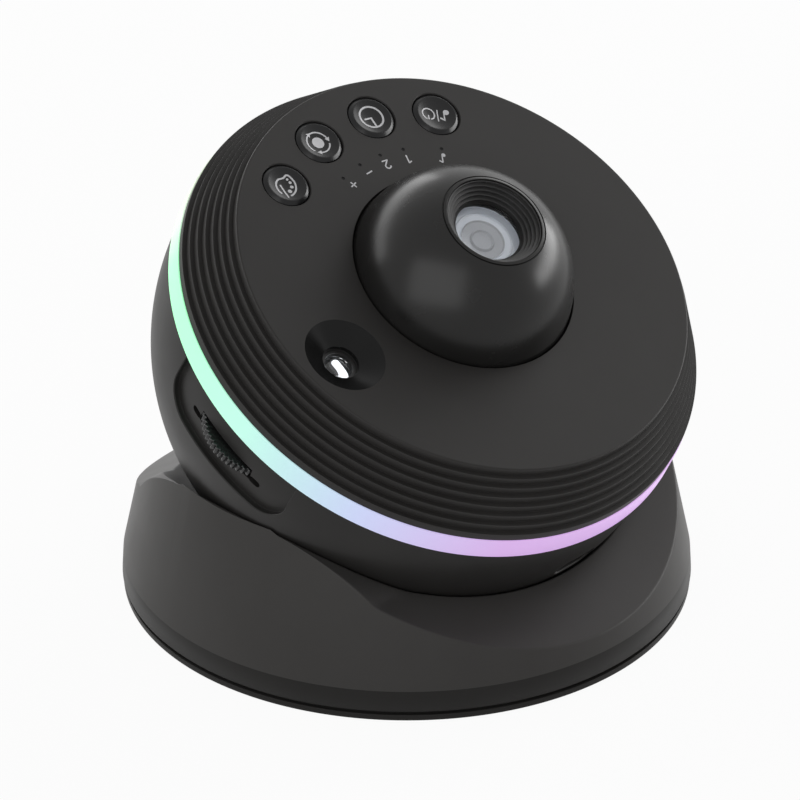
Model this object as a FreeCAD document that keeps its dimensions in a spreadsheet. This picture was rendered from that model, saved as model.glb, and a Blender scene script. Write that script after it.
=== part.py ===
"""Planetarium projector: a round head on a friction tilt hinge, standing in a sloped cradle base.

Millimetres, +Z up, origin at the centre of the base's underside, the head leaning towards -Y.
Pieces of the head are drawn upright in the head's own frame, whose origin is the centre of the
ball and whose Z runs along the head's axis, and are then set in place by place_in_head().
"""
import FreeCAD, Part
import Sketcher
import os
import re

SIZES = {
    # cradle base
    "skirt_radius": 78.2, "cone_foot_radius": 77.9, "ear_radius": 69.9,
    "plate_top": 2.9, "skirt_top": 9.7, "ear_height": 49.5,
    "cut_height": 59.3, "cut_angle": 30.0, "base_wall": 2.2, "seat_gap": 0.6,
    "slope_round": 1.6, "ear_curve_radius": 50.5, "ear_curve_y": 8.3, "dish_opening": 38.0,
    "base_boss_circle": 64.5, "base_boss_radius": 4.0,
    # base plate, foot and ballast
    "plate_low": 0.4, "plate_radius": 77.9, "groove_depth": 1.2, "groove_height": 0.6,
    "foot_inner": 60.0, "foot_outer": 69.0, "foot_height": 1.4,
    "ballast_inner": 44.0, "ballast_outer": 55.5, "ballast_height": 5.4,
    # tilt hinge
    "head_tilt": 30.0, "pivot_height": 66.6, "pivot_drop": 10.9,
    "post_width": 15.0, "post_depth": 12.0, "post_foot_length": 40.0, "post_foot_width": 30.0,
    "post_foot_height": 3.0, "eye_radius": 7.0, "pin_radius": 3.0, "pin_clearance": 0.05,
    "washer_thickness": 1.8, "washer_radius": 6.5, "ear_thickness": 3.0, "ear_half_depth": 7.0,
    "hinge_plate_depth": 24.0, "hinge_plate_thickness": 2.0, "nut_radius": 5.0, "nut_height": 3.2,
    # bowl
    "bowl_radius": 73.4, "bowl_wall": 2.5, "bowl_top": 5.9, "bowl_depth": 50.0, "bowl_floor": 2.4,
    "post_slot_gap": 1.4, "bowl_boss_circle": 42.0, "bowl_boss_radius": 4.0,
    # light ring
    "ring_radius": 75.0, "ring_top_radius": 74.75, "ring_height": 7.1, "ring_thickness": 4.5,
    # upper shell
    "terrace_foot_radius": 74.4, "face_radius": 65.1, "face_height": 32.6, "terrace_count": 8,
    "face_round": 0.8, "shell_wall": 2.4, "shell_post_circle": 56.0, "shell_post_radius": 3.6,
    # dome and main lens
    "dome_radius": 31.6, "dome_centre": 28.0, "dome_wall": 2.2, "dome_top": 56.2, "dome_gap": 0.25,
    "dome_flange_radius": 34.5, "dome_flange_height": 2.2, "throat_radius": 13.6,
    "throat_wall": 2.0, "throat_low": 44.0, "lens_front": 50.3, "baffle_top": 55.8,
    "baffle_mouth_radius": 13.0, "lens_view_radius": 9.6, "fit": 0.1,
    "barrel_low": 23.0, "lens_radius": 11.0,
    # film carrier, motor and lamp
    "gear_module": 0.8, "carrier_teeth": 54, "pinion_teeth": 12, "film_radius": 12.5,
    "film_thickness": 1.0, "holder_radius": 13.0, "holder_bore": 11.2, "holder_top": 18.7,
    "carrier_low": 14.45, "carrier_gear_height": 3.2, "running_gap": 0.05,
    "motor_angle": -50.0, "motor_radius": 7.2, "motor_height": 10.5, "clamp_wall": 1.4,
    "motor_shaft_radius": 0.75, "motor_nose": 0.8,
    "sink_radius": 17.0, "sink_base": 3.0, "fin_height": 7.0, "fin_count": 28, "fin_thickness": 0.8,
    "led_board_radius": 10.0, "board_thickness": 1.2,
    # chassis
    "chassis_low": -1.0, "chassis_top": 1.4, "chassis_radius": 66.0, "chassis_rim": 1.8,
    # ring light board
    "ring_board_gap": 0.6, "ring_board_inner": 64.0, "ring_led_count": 24, "ring_led_size": 2.2,
    # buttons and indicators
    "button_circle": 53.2, "button_angle": 58.0, "button_step": 21.5, "button_radius": 6.7,
    "button_gap": 0.25, "button_well_radius": 7.2, "button_well_depth": 0.25, "button_travel": 0.8,
    "button_rise": 0.45, "button_flange": 0.9, "button_dish_radius": 5.5, "button_dish_depth": 0.6,
    "stem_radius": 1.8,
    "pad_circle": 41.3, "pad_angle": 74.5, "pad_step": 10.7, "lone_pad_angle": 58.3,
    "pipe_radius": 0.5, "button_board_top": 21.6, "switch_height": 4.2, "switch_size": 6.0,
    # side lens
    "side_circle": 50.7, "side_angle": 187.8, "funnel_radius": 11.5, "funnel_throat": 5.2,
    "funnel_depth": 3.4, "fine_module": 0.6, "sleeve_teeth": 23, "wheel_teeth": 15,
    "side_cell_radius": 4.95, "sleeve_wall": 0.8, "sleeve_low": 6.4, "sleeve_top": 28.0,
    "side_gear_low": 10.0, "side_gear_height": 3.0, "cell_low": 19.6, "cell_top": 27.4,
    "side_lens_radius": 4.1,
    # focus wheel and its recess
    "wheel_proud": 1.2, "wheel_low": -7.3, "wheel_thickness": 2.4, "knurl_count": 60,
    "knurl_depth": 0.7, "shaft_radius": 1.5, "recess_depth": 1.8, "recess_half_length": 24.0,
    "recess_low": -14.2, "recess_corner": 9.0, "recess_wall": 2.4, "wheel_slot_gap": 0.4,
    "wheel_slot_rise": 1.1,
    "vent_length": 3.0, "vent_height": 1.7, "bracket_thickness": 1.6,
    # charging port and main board
    "port_x": 3.8, "port_height": -13.35, "port_well_width": 14.0, "port_well_height": 7.0,
    "port_well_depth": 3.2, "socket_width": 9.2, "socket_height": 3.3, "socket_length": 8.0,
    "port_wall": 2.2, "board_width": 40.0, "board_near": -20.0, "board_far": -65.0,
    # speaker
    "speaker_x": 33.0, "speaker_radius": 17.0, "speaker_flange": 1.2, "magnet_radius": 11.0,
    "magnet_height": 5.0, "speaker_height": 14.0,
    # fasteners
    "screw_radius": 1.25, "screw_hole_gap": 0.35, "screw_head_radius": 2.7, "screw_head": 1.8,
}

DOC = FreeCAD.newDocument("planetarium_projector")
PIECES = []


def make_sheet():
    """One row per driving size: its name in column A, its plain number in column B."""
    sheet = DOC.addObject("Spreadsheet::Sheet", "Sizes")
    for row, (alias, value) in enumerate(SIZES.items(), start=1):
        sheet.set("A%d" % row, alias)
        sheet.set("B%d" % row, str(value))
        sheet.setAlias("B%d" % row, alias)
    DOC.recompute()
    return sheet


SHEET = make_sheet()


def formula(text):
    """The text with each size name turned into a reference to its cell."""
    return re.sub(r"[a-z][a-z0-9_]*", lambda word: "Sizes." + word.group() if word.group() in SIZES
                  else word.group(), str(text))


def value(text):
    """A formula's present value, in millimetres or degrees."""
    found = SHEET.evalExpression(formula(text))
    return float(getattr(found, "Value", found))


def bind(target, **sizes):
    """Tie properties of an object to formulas."""
    for name, text in sizes.items():
        target.setExpression(name, formula(text))


def move(target, x="0", y="0", z="0"):
    """Tie an object's position to formulas."""
    for axis, text in (("x", x), ("y", y), ("z", z)):
        target.setExpression("Placement.Base." + axis, formula(text))


def turn(target, axis, angle):
    """Turn an object about an axis through its own origin, by a formula in degrees."""
    target.Placement = FreeCAD.Placement(FreeCAD.Vector(), FreeCAD.Rotation(FreeCAD.Vector(*axis), 10))
    target.setExpression("Placement.Rotation.Angle", formula(angle))


HEAD_Y = "-pivot_drop * sin(head_tilt)"
HEAD_Z = "pivot_height + pivot_drop * cos(head_tilt)"


def place_in_head(target, x="0", y="0"):
    """Carry a piece drawn upright about the ball's centre to where the leaning head holds it."""
    turn(target, (1, 0, 0), "head_tilt")
    move(target, x, "%s + (%s) * cos(head_tilt)" % (HEAD_Y, y), "%s + (%s) * sin(head_tilt)" % (HEAD_Z, y))


def piece(label, shape, in_head=True, x="0", y="0"):
    """Name a finished piece, put it in its place and list it for export."""
    shape.Label = label
    if in_head:
        place_in_head(shape, x, y)
    PIECES.append(shape)
    return shape


# ---- shapes tied to formulas ---------------------------------------------------------------

def cylinder(name, radius, low, high, x="0", y="0"):
    shape = DOC.addObject("Part::Cylinder", name)
    bind(shape, Radius=radius, Height="(%s) - (%s)" % (high, low))
    move(shape, x, y, low)
    return shape


def cross_cylinder(name, radius, x_low, x_high, y, z):
    """A cylinder lying along X."""
    shape = DOC.addObject("Part::Cylinder", name)
    bind(shape, Radius=radius, Height="(%s) - (%s)" % (x_high, x_low))
    turn(shape, (0, 1, 0), "90")
    move(shape, x_low, y, z)
    return shape


def cone(name, low_radius, high_radius, low, high, x="0", y="0"):
    shape = DOC.addObject("Part::Cone", name)
    bind(shape, Radius1=low_radius, Radius2=high_radius, Height="(%s) - (%s)" % (high, low))
    move(shape, x, y, low)
    return shape


def ball(name, radius, x="0", y="0", z="0"):
    shape = DOC.addObject("Part::Sphere", name)
    bind(shape, Radius=radius)
    move(shape, x, y, z)
    return shape


def block(name, x_span, y_span, z_span):
    """A box between three pairs of formulas."""
    shape = DOC.addObject("Part::Box", name)
    sides = ["(%s) - (%s)" % (high, low) for low, high in (x_span, y_span, z_span)]
    bind(shape, Length=sides[0], Width=sides[1], Height=sides[2])
    move(shape, x_span[0], y_span[0], z_span[0])
    return shape


def centred(half, middle="0"):
    """A pair of formulas that lie evenly about a middle."""
    return "(%s) - (%s)" % (middle, half), "(%s) + (%s)" % (middle, half)


def fuse(name, shapes):
    result = DOC.addObject("Part::MultiFuse", name)
    result.Shapes = shapes
    return result


def common(name, shapes):
    result = DOC.addObject("Part::MultiCommon", name)
    result.Shapes = shapes
    return result


def cut(name, base, tools):
    result = DOC.addObject("Part::Cut", name)
    result.Base = base
    result.Tool = tools[0] if len(tools) == 1 else fuse(name + "_tools", tools)
    return result


def group(name, shapes):
    """Separate solids that share one piece's name."""
    result = DOC.addObject("Part::Compound", name)
    result.Links = shapes
    return result


def polar(circle, angle):
    """Formulas of a point on a circle about the axis."""
    return "(%s) * cos(%s)" % (circle, angle), "(%s) * sin(%s)" % (circle, angle)


# ---- bodies made from sketches -------------------------------------------------------------

def origin_plane(body, role):
    return next(plane for plane in body.Origin.OriginFeatures if plane.Role == role)


def outline(body, name, plane, corners, height="0"):
    """A closed outline through corners that are pairs of formulas, on one of the body's planes."""
    sketch = body.newObject("Sketcher::SketchObject", name)
    sketch.AttachmentSupport = [(origin_plane(body, plane), "")]
    sketch.MapMode = "FlatFace"
    sketch.setExpression("AttachmentOffset.Base.z", formula(height))
    points = [FreeCAD.Vector(value(across), value(up), 0) for across, up in corners]
    for index, start in enumerate(points):
        sketch.addGeometry(Part.LineSegment(start, points[(index + 1) % len(points)]), False)
    for index in range(len(points)):
        sketch.addConstraint(Sketcher.Constraint("Coincident", index, 2, (index + 1) % len(points), 1))
    for index, (across, up) in enumerate(corners):
        for kind, text, now in (("DistanceX", across, points[index].x), ("DistanceY", up, points[index].y)):
            number = sketch.addConstraint(Sketcher.Constraint(kind, -1, 1, index, 1, now))
            sketch.setExpression("Constraints[%d]" % number, formula(text))
    return sketch


def turned(name, corners):
    """A body turned on its axis from corners given as (radius, height)."""
    body = DOC.addObject("PartDesign::Body", name)
    sketch = outline(body, name + "_profile", "XZ_Plane", corners)
    revolution = body.newObject("PartDesign::Revolution", name + "_turned")
    revolution.Profile = sketch
    revolution.ReferenceAxis = (sketch, ["V_Axis"])
    revolution.Angle = 360
    return body


def tube(name, inner, outer, low, high):
    return turned(name, [(inner, low), (outer, low), (outer, high), (inner, high)])


def disc(name, radius, low, high):
    return turned(name, [("0", low), (radius, low), (radius, high), ("0", high)])


def toothed(name, teeth, low, high, root, tip, root_width, tip_width, phase="0"):
    """A round body with equal straight-sided teeth, one of them centred on the phase angle."""
    body = disc(name, root, low, high)
    corners = []
    for reach, side in (("%s - 0.4" % root, "(%s) / 2" % root_width), (tip, "(%s) / 2" % tip_width),
                        (tip, "-(%s) / 2" % tip_width), ("%s - 0.4" % root, "-(%s) / 2" % root_width)):
        corners.append(("(%s) * cos(%s) - (%s) * sin(%s)" % (reach, phase, side, phase),
                        "(%s) * sin(%s) + (%s) * cos(%s)" % (reach, phase, side, phase)))
    sketch = outline(body, name + "_tooth", "XY_Plane", corners, low)
    tooth = body.newObject("PartDesign::Pad", name + "_tooth_pad")
    tooth.Profile = sketch
    bind(tooth, Length="(%s) - (%s)" % (high, low))
    DOC.recompute()
    pattern = body.newObject("PartDesign::PolarPattern", name + "_teeth")
    pattern.Originals = [tooth]
    pattern.Axis = (sketch, ["N_Axis"])
    pattern.Angle = 360
    bind(pattern, Occurrences=teeth)
    body.Tip = pattern
    return body


def gear(name, module, teeth, low, high, phase):
    """A spur gear, its teeth thinned to leave backlash."""
    pitch = "%s * %s / 2" % (module, teeth)
    return toothed(name, teeth, low, high, "%s - %s * 1.1" % (pitch, module),
                   "%s + %s * 0.85" % (pitch, module), "%s * 1.75" % module, "%s * 0.55" % module, phase)


def rounded(name, base, radius, chosen):
    """A fillet along the edges of a shape that a test picks out."""
    DOC.recompute()
    size = value(radius)
    result = DOC.addObject("Part::Fillet", name)
    result.Base = base
    result.Edges = [(number, size, size)
                    for number, edge in enumerate(base.Shape.Edges, start=1) if chosen(edge)]
    return result


def screws(name, places, head_low, length, head_side):
    """Pan-head screws at places given as (x, y); head_side is -1 when the heads point down."""
    made = []
    for index, (x, y) in enumerate(places):
        head_high = "(%s) + screw_head" % head_low
        shank = ("(%s) + screw_head" % head_low, "(%s) + screw_head + %s" % (head_low, length))
        if head_side > 0:
            shank = ("(%s) - %s" % (head_low, length), head_low)
        tag = "%s_%d" % (name, index)
        head = cylinder(tag + "_head", "screw_head_radius", head_low, head_high, x, y)
        stem = cylinder(tag + "_shank", "screw_radius", shank[0], shank[1], x, y)
        made.append(fuse(tag, [head, stem]))
    return group(name, made)


# ---- base ----------------------------------------------------------------------------------

BASE_BOSSES = [polar("base_boss_circle", angle) for angle in ("45", "135", "225", "315")]
SWING = "pivot_drop * sin(cut_angle)"
SEAT_HEIGHT = "pivot_height + pivot_drop * cos(cut_angle)"


def swept_ball(name, radius):
    """The space the ball takes as it tilts from one limit to the other."""
    front = ball(name + "_front", radius, y="-(%s)" % SWING, z=SEAT_HEIGHT)
    back = ball(name + "_back", radius, y=SWING, z=SEAT_HEIGHT)
    between = DOC.addObject("Part::Cylinder", name + "_between")
    bind(between, Radius=radius, Height="2 * (%s)" % SWING)
    turn(between, (1, 0, 0), "90")
    move(between, y=SWING, z=SEAT_HEIGHT)
    return fuse(name, [front, back, between])


def slope_cutters(name, drop):
    """Two blocks that slope the base's top to the front and back, and spare the ears' round shoulders."""
    cutters = []
    for side, sign in (("front", "1"), ("back", "-1")):
        reach = "3 * skirt_radius"
        cutter = DOC.addObject("Part::Box", "%s_%s" % (name, side))
        bind(cutter, Length=reach, Width=reach, Height="skirt_radius")
        turn(cutter, (1, 0, 0), "%s * cut_angle" % sign)
        move(cutter, "-1.5 * skirt_radius",
             "-1.5 * skirt_radius * cos(cut_angle)",
             "cut_height - (%s) / cos(cut_angle) - %s * 1.5 * skirt_radius * sin(cut_angle)" % (drop, sign))
        shoulder = cross_cylinder("%s_shoulder_%s" % (name, side), "ear_curve_radius - (%s)" % drop,
                                  "-1.2 * skirt_radius", "1.2 * skirt_radius", "-%s * ear_curve_y" % sign,
                                  "ear_height - ear_curve_radius")
        cutters.append(cut("%s_kept_%s" % (name, side), cutter, [shoulder]))
    return cutters


def on_base_top(edge):
    """Whether an edge borders the slopes or the flat tops of the ears."""
    middle = edge.valueAt((edge.FirstParameter + edge.LastParameter) / 2)
    slope_height = value("cut_height") - abs(middle.y) * value("tan(cut_angle)")
    radius = value("ear_curve_radius")
    reach = max(abs(middle.y) - value("ear_curve_y"), 0)
    if reach < radius:
        slope_height = max(slope_height, value("ear_height") - radius + (radius ** 2 - reach ** 2) ** 0.5)
    return abs(middle.z - min(slope_height, value("ear_height"))) < 0.01


def base_shell():
    slope = "(cone_foot_radius - ear_radius) / (ear_height - skirt_top)"
    outside = turned("base_outside", [
        ("0", "plate_top"), ("skirt_radius", "plate_top"), ("cone_foot_radius", "skirt_top"),
        ("ear_radius", "ear_height"), ("0", "ear_height")])
    inside = turned("base_inside", [
        ("0", "plate_top - 1"), ("skirt_radius - base_wall", "plate_top - 1"),
        ("cone_foot_radius - base_wall", "skirt_top"),
        ("ear_radius - base_wall + base_wall * %s" % slope, "ear_height - base_wall"),
        ("0", "ear_height - base_wall")])
    hollow = cut("base_hollow", inside, [swept_ball("dish_outside", "bowl_radius + seat_gap + base_wall")]
                 + slope_cutters("inner_slope", "base_wall"))
    sloped = rounded("base_rounded", cut("base_sloped", outside, slope_cutters("outer_slope", "0")),
                     "slope_round", on_base_top)
    walls = cut("base_walls", sloped, [hollow])
    bosses = [cylinder("base_boss_%d" % number, "base_boss_radius", "plate_top", "plate_top + 28", x, y)
              for number, (x, y) in enumerate(BASE_BOSSES)]
    holes = [cylinder("base_boss_hole_%d" % number, "screw_radius", "plate_top", "plate_top + 10", x, y)
             for number, (x, y) in enumerate(BASE_BOSSES)]
    bossed = common("base_boss_trim", [fuse("base_boss_group", bosses), outside])
    whole = fuse("base_with_bosses", [walls, bossed])
    opening = cylinder("dish_mouth", "dish_opening", "plate_top", "ear_height")
    cavity = swept_ball("seat", "bowl_radius + seat_gap")
    return piece("base_shell", cut("base_shell", whole, [cavity, opening] + holes), in_head=False)


def base_plate():
    body = turned("plate_body", [
        ("0", "plate_low"), ("plate_radius - 0.7", "plate_low"), ("plate_radius", "plate_low + 0.7"),
        ("plate_radius", "plate_top - groove_height"),
        ("plate_radius - groove_depth", "plate_top - groove_height"),
        ("plate_radius - groove_depth", "plate_top"), ("0", "plate_top")])
    groove = tube("foot_groove", "foot_inner", "foot_outer", "plate_low - 1", "foot_height")
    tools = [groove]
    for number, (x, y) in enumerate(BASE_BOSSES):
        tools.append(cylinder("plate_hole_%d" % number, "screw_radius + screw_hole_gap", "0", "plate_top", x, y))
    for number, (x, y) in enumerate(POST_SCREWS):
        tools.append(cylinder("post_hole_%d" % number, "screw_radius + screw_hole_gap", "0", "plate_top", x, y))
        tools.append(cylinder("post_sink_%d" % number, "screw_head_radius + screw_hole_gap",
                              "0", "plate_low + screw_head", x, y))
    piece("base_plate", cut("base_plate", body, tools), in_head=False)


def foot_ring():
    """A rubber ring pressed into the plate's groove, holed where the shell's screws pass."""
    ring = tube("foot_body", "foot_inner + fit", "foot_outer - fit", "0", "foot_height")
    holes = [cylinder("foot_hole_%d" % number, "screw_head_radius + fit", "0", "foot_height", x, y)
             for number, (x, y) in enumerate(BASE_BOSSES)]
    piece("foot_ring", cut("foot_ring", ring, holes), in_head=False)


def base_screws():
    """Low-head screws through the plate into the shell's bosses, hidden in the foot's holes."""
    made = []
    for number, (x, y) in enumerate(BASE_BOSSES):
        head = cylinder("base_screw_head_%d" % number, "screw_head_radius - 0.2",
                        "foot_height - 0.8", "foot_height", x, y)
        stem = cylinder("base_screw_stem_%d" % number, "screw_radius", "foot_height", "plate_top + 9", x, y)
        made.append(fuse("base_screw_%d" % number, [head, stem]))
    piece("base_screws", group("base_screws", made), in_head=False)


def ballast():
    """A steel ring on the plate that keeps the leaning projector from tipping."""
    ring = tube("ballast", "ballast_inner", "ballast_outer", "plate_top", "plate_top + ballast_height")
    piece("ballast_ring", ring, in_head=False)


POST_SCREWS = [(x, y) for x in ("-0.38 * post_foot_length", "0.38 * post_foot_length")
               for y in ("-0.36 * post_foot_width", "0.36 * post_foot_width")]


def tilt_post():
    foot = block("post_foot", centred("post_foot_length / 2"), centred("post_foot_width / 2"),
                 ("plate_top", "plate_top + post_foot_height"))
    column = block("post_column", centred("post_width / 2"), centred("post_depth / 2"),
                   ("plate_top", "pivot_height"))
    eye = cross_cylinder("post_eye", "eye_radius", "-post_width / 2", "post_width / 2", "0", "pivot_height")
    bore = cross_cylinder("post_bore", "pin_radius + pin_clearance", "-post_width", "post_width",
                          "0", "pivot_height")
    holes = [cylinder("post_foot_hole_%d" % number, "screw_radius", "plate_top",
                      "plate_top + post_foot_height - 0.4", x, y)
             for number, (x, y) in enumerate(POST_SCREWS)]
    piece("tilt_post", cut("tilt_post", fuse("post_solid", [foot, column, eye]), [bore] + holes), in_head=False)


def post_screws():
    piece("post_screws", screws("post_screws", POST_SCREWS, "plate_low",
                                "(plate_top + post_foot_height - 0.6 - plate_low - screw_head)", -1),
          in_head=False)


# ---- hinge parts of the head ---------------------------------------------------------------

PIVOT = "-pivot_drop"
WASHER_FACE = "post_width / 2 + 0.05"
EAR_FACE = "post_width / 2 + 0.05 + washer_thickness + 0.05"


def tilt_bracket():
    """A plate under the chassis with two ears that hold the hinge pin."""
    plate_low = "chassis_low - hinge_plate_thickness"
    plate = block("hinge_plate", centred("%s + ear_thickness" % EAR_FACE),
                  centred("hinge_plate_depth / 2"), (plate_low, "chassis_low"))
    solids = [plate]
    for side, sign in (("left", "-1"), ("right", "1")):
        middle = "%s * (%s + ear_thickness / 2)" % (sign, EAR_FACE)
        solids.append(block("ear_" + side, centred("ear_thickness / 2", middle),
                            centred("ear_half_depth"), (PIVOT, "chassis_low")))
        solids.append(cross_cylinder("ear_end_" + side, "ear_half_depth", "%s - ear_thickness / 2" % middle,
                                     "%s + ear_thickness / 2" % middle, "0", PIVOT))
    bore = cross_cylinder("ear_bore", "pin_radius", "-30", "30", "0", PIVOT)
    piece("tilt_bracket", cut("tilt_bracket", fuse("bracket_solid", solids), [bore]))


def friction_washers():
    made = []
    for side, low, high in (("left", "-(%s) - washer_thickness" % WASHER_FACE, "-(%s)" % WASHER_FACE),
                            ("right", WASHER_FACE, "%s + washer_thickness" % WASHER_FACE)):
        outside = cross_cylinder("washer_" + side, "washer_radius", low, high, "0", PIVOT)
        hole = cross_cylinder("washer_hole_" + side, "pin_radius", low, high, "0", PIVOT)
        made.append(cut("washer_ring_" + side, outside, [hole]))
    piece("friction_washers", group("friction_washers", made))


def tilt_pin():
    end = "%s + ear_thickness" % EAR_FACE
    shaft = cross_cylinder("pin_shaft", "pin_radius", "-(%s)" % end, "%s + nut_height" % end, "0", PIVOT)
    head = cross_cylinder("pin_head", "nut_radius", "-(%s) - nut_height" % end, "-(%s)" % end, "0", PIVOT)
    piece("tilt_pin", fuse("tilt_pin", [shaft, head]))


def pin_nut():
    end = "%s + ear_thickness" % EAR_FACE
    nut = DOC.addObject("Part::Prism", "nut_hexagon")
    nut.Polygon = 6
    bind(nut, Circumradius="nut_radius", Height="nut_height")
    turn(nut, (0, 1, 0), "90")
    move(nut, end, "0", PIVOT)
    hole = cross_cylinder("nut_hole", "pin_radius", end, "%s + nut_height" % end, "0", PIVOT)
    piece("pin_nut", cut("pin_nut", nut, [hole]))


# ---- bowl ----------------------------------------------------------------------------------

BOWL_BOSSES = [polar("bowl_boss_circle", angle) for angle in ("45", "135", "225", "315")]
SIDE_X, SIDE_Y = polar("side_circle", "side_angle")
SIDE_CENTRES = "fine_module * (sleeve_teeth + wheel_teeth) / 2"
WHEEL_X = "(%s) - sqrt(pow(%s; 2) - pow(%s; 2))" % (SIDE_X, SIDE_CENTRES, SIDE_Y)
WHEEL_RADIUS = "(bowl_radius + wheel_proud + (%s))" % WHEEL_X
RECESS_BALL = "(bowl_radius - recess_depth)"
SLOT_ROUND = "(%s + wheel_slot_gap)" % WHEEL_RADIUS
SLOT_END = ("((pow(%s; 2) - pow(wheel_low; 2) - pow(%s; 2) + pow(%s; 2)) / (2 * (%s)))"
            % (RECESS_BALL, SLOT_ROUND, WHEEL_X, WHEEL_X))
SLOT_HALF = "sqrt(pow(%s; 2) - pow(wheel_low; 2) - pow(%s; 2))" % (RECESS_BALL, SLOT_END)
PORT_FACE = "(-sqrt(pow(bowl_radius; 2) - pow(port_height; 2)))"
PORT_FLOOR = "(%s + port_well_depth)" % PORT_FACE


def slab(name, low, high):
    """A block wider than the bowl between two heights."""
    return block(name, centred("2 * bowl_radius"), centred("2 * bowl_radius"), (low, high))


def rounded_bar(name, x_span, y_half, z_half, y_middle, z_middle):
    """A bar along X with half-round sides, longer in Y than in Z."""
    flat = "((%s) - (%s))" % (y_half, z_half)
    solids = [block(name + "_flat", x_span, centred(flat, y_middle), centred(z_half, z_middle))]
    for side, sign in (("near", "-"), ("far", "+")):
        solids.append(cross_cylinder("%s_%s" % (name, side), z_half, x_span[0], x_span[1],
                                     "(%s) %s %s" % (y_middle, sign, flat), z_middle))
    return fuse(name, solids)


def recess_outline(name, x_span, margin):
    """The wheel recess seen from its side: a bar with rounded lower corners, open at the top."""
    half, corner, low = ["(%s %s)" % (size, margin)
                         for size in ("recess_half_length +", "recess_corner +", "recess_low -")]
    solids = [block(name + "_upper", x_span, centred(half), ("%s + %s" % (low, corner), "bowl_top + 1")),
              block(name + "_lower", x_span, centred("%s - %s" % (half, corner)), (low, "bowl_top + 1"))]
    for side, sign in (("near", "-"), ("far", "")):
        solids.append(cross_cylinder("%s_corner_%s" % (name, side), corner, x_span[0], x_span[1],
                                     "%s(%s - %s)" % (sign, half, corner), "%s + %s" % (low, corner)))
    return fuse(name, solids)


def recess_cutter():
    """The shallow recess around the focus wheel, of even depth all over."""
    return cut("recess", recess_outline("recess_span", ("-bowl_radius - 5", "-bowl_radius + 20"), "0"),
               [ball("recess_floor_ball", RECESS_BALL)])


def recess_backing():
    """The wall behind the recess, which bulges into the bowl."""
    bar = recess_outline("backing_span", ("-bowl_radius", "-bowl_radius + 20"), "recess_wall")
    return cut("recess_backing", bar, [ball("backing_ball", "%s - recess_wall" % RECESS_BALL)])


def port_well():
    """The pocket around the charging socket, open to the front."""
    half_height = "port_well_height / 2"
    flat = "(port_well_width - port_well_height) / 2"
    y_span = ("-bowl_radius - 5", PORT_FLOOR)
    solids = [block("well_flat", centred(flat, "port_x"), y_span, centred(half_height, "port_height"))]
    for side, sign in (("left", "-"), ("right", "+")):
        end = DOC.addObject("Part::Cylinder", "well_" + side)
        bind(end, Radius=half_height, Height="(%s) - (%s)" % (y_span[1], y_span[0]))
        turn(end, (1, 0, 0), "90")
        move(end, "port_x %s %s" % (sign, flat), y_span[1], "port_height")
        solids.append(end)
    return fuse("port_well", solids)


def lower_bowl():
    floor_low = "-bowl_depth"
    floor_top = "-bowl_depth + bowl_floor"
    outside = common("bowl_outside", [ball("bowl_ball", "bowl_radius"), slab("bowl_span", floor_low, "bowl_top")])
    inside = common("bowl_inside", [ball("bowl_inner_ball", "bowl_radius - bowl_wall"),
                                    slab("bowl_inner_span", floor_top, "bowl_top + 5")])
    walls = cut("bowl_walls", outside, [inside])
    bosses = [cylinder("bowl_boss_%d" % number, "bowl_boss_radius", floor_low, "chassis_low", x, y)
              for number, (x, y) in enumerate(BOWL_BOSSES)]
    port_backing = block("port_backing", centred("port_well_width / 2 + 2", "port_x"),
                         ("-bowl_radius", "%s + port_wall" % PORT_FLOOR),
                         centred("port_well_height / 2 + 2", "port_height"))
    within = common("bowl_within", [ball("bowl_within_ball", "bowl_radius - bowl_wall / 2"),
                                    slab("bowl_within_span", floor_low, "bowl_top")])
    added = fuse("bowl_added", bosses + [recess_backing(), port_backing])
    inner_parts = common("bowl_inner_parts", [added, within])
    tools = [recess_cutter(), port_well()]
    for number, (x, y) in enumerate(BOWL_BOSSES):
        tools.append(cylinder("bowl_hole_%d" % number, "screw_radius", floor_low, "chassis_low", x, y))
        tools.append(cylinder("bowl_sink_%d" % number, "screw_head_radius + screw_hole_gap",
                              floor_low, "%s + screw_head" % floor_low, x, y))
    tools.append(cylinder("wheel_slot", "%s + wheel_slot_gap" % WHEEL_RADIUS, "wheel_low - wheel_slot_gap",
                          "wheel_low + wheel_thickness + wheel_slot_rise", WHEEL_X))
    for side, sign in (("near", "-"), ("far", "")):
        tools.append(rounded_bar("vent_" + side, ("-bowl_radius - 5", "-bowl_radius + 12"), "vent_length / 2",
                                 "vent_height / 2", "%s(%s + vent_length / 2 + 0.3)" % (sign, SLOT_HALF),
                                 "wheel_low + 0.3"))
    tools.append(block("socket_hole", centred("socket_width / 2 + 0.3", "port_x"), ("-bowl_radius", "-50"),
                       centred("socket_height / 2 + 0.3", "port_height")))
    reach = "((bowl_depth - pivot_drop) * tan(cut_angle) + post_depth / 2 / cos(cut_angle) + post_slot_gap)"
    tools.append(block("post_slot", centred("post_width / 2 + post_slot_gap"), centred(reach),
                       (floor_low, floor_top)))
    for ring, count in (("5", 6), ("10", 12)):
        for step in range(count):
            x, y = polar(ring, str(360 * step / count))
            tools.append(cylinder("speaker_hole_%s_%d" % (ring, step), "1.1", floor_low, floor_top,
                                  "speaker_x + %s" % x, y))
    piece("lower_bowl", cut("lower_bowl", fuse("bowl_solid", [walls, inner_parts]), tools))


def bowl_screws():
    piece("bowl_screws", screws("bowl_screws", BOWL_BOSSES, "-bowl_depth", "30", -1))


# ---- light ring and upper shell ------------------------------------------------------------

RING_TOP = "(bowl_top + ring_height)"


def light_ring():
    piece("light_ring", turned("light_ring", [
        ("ring_radius - ring_thickness", "bowl_top"), ("ring_radius", "bowl_top"),
        ("ring_top_radius", RING_TOP), ("ring_radius - ring_thickness", RING_TOP)]))


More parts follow.
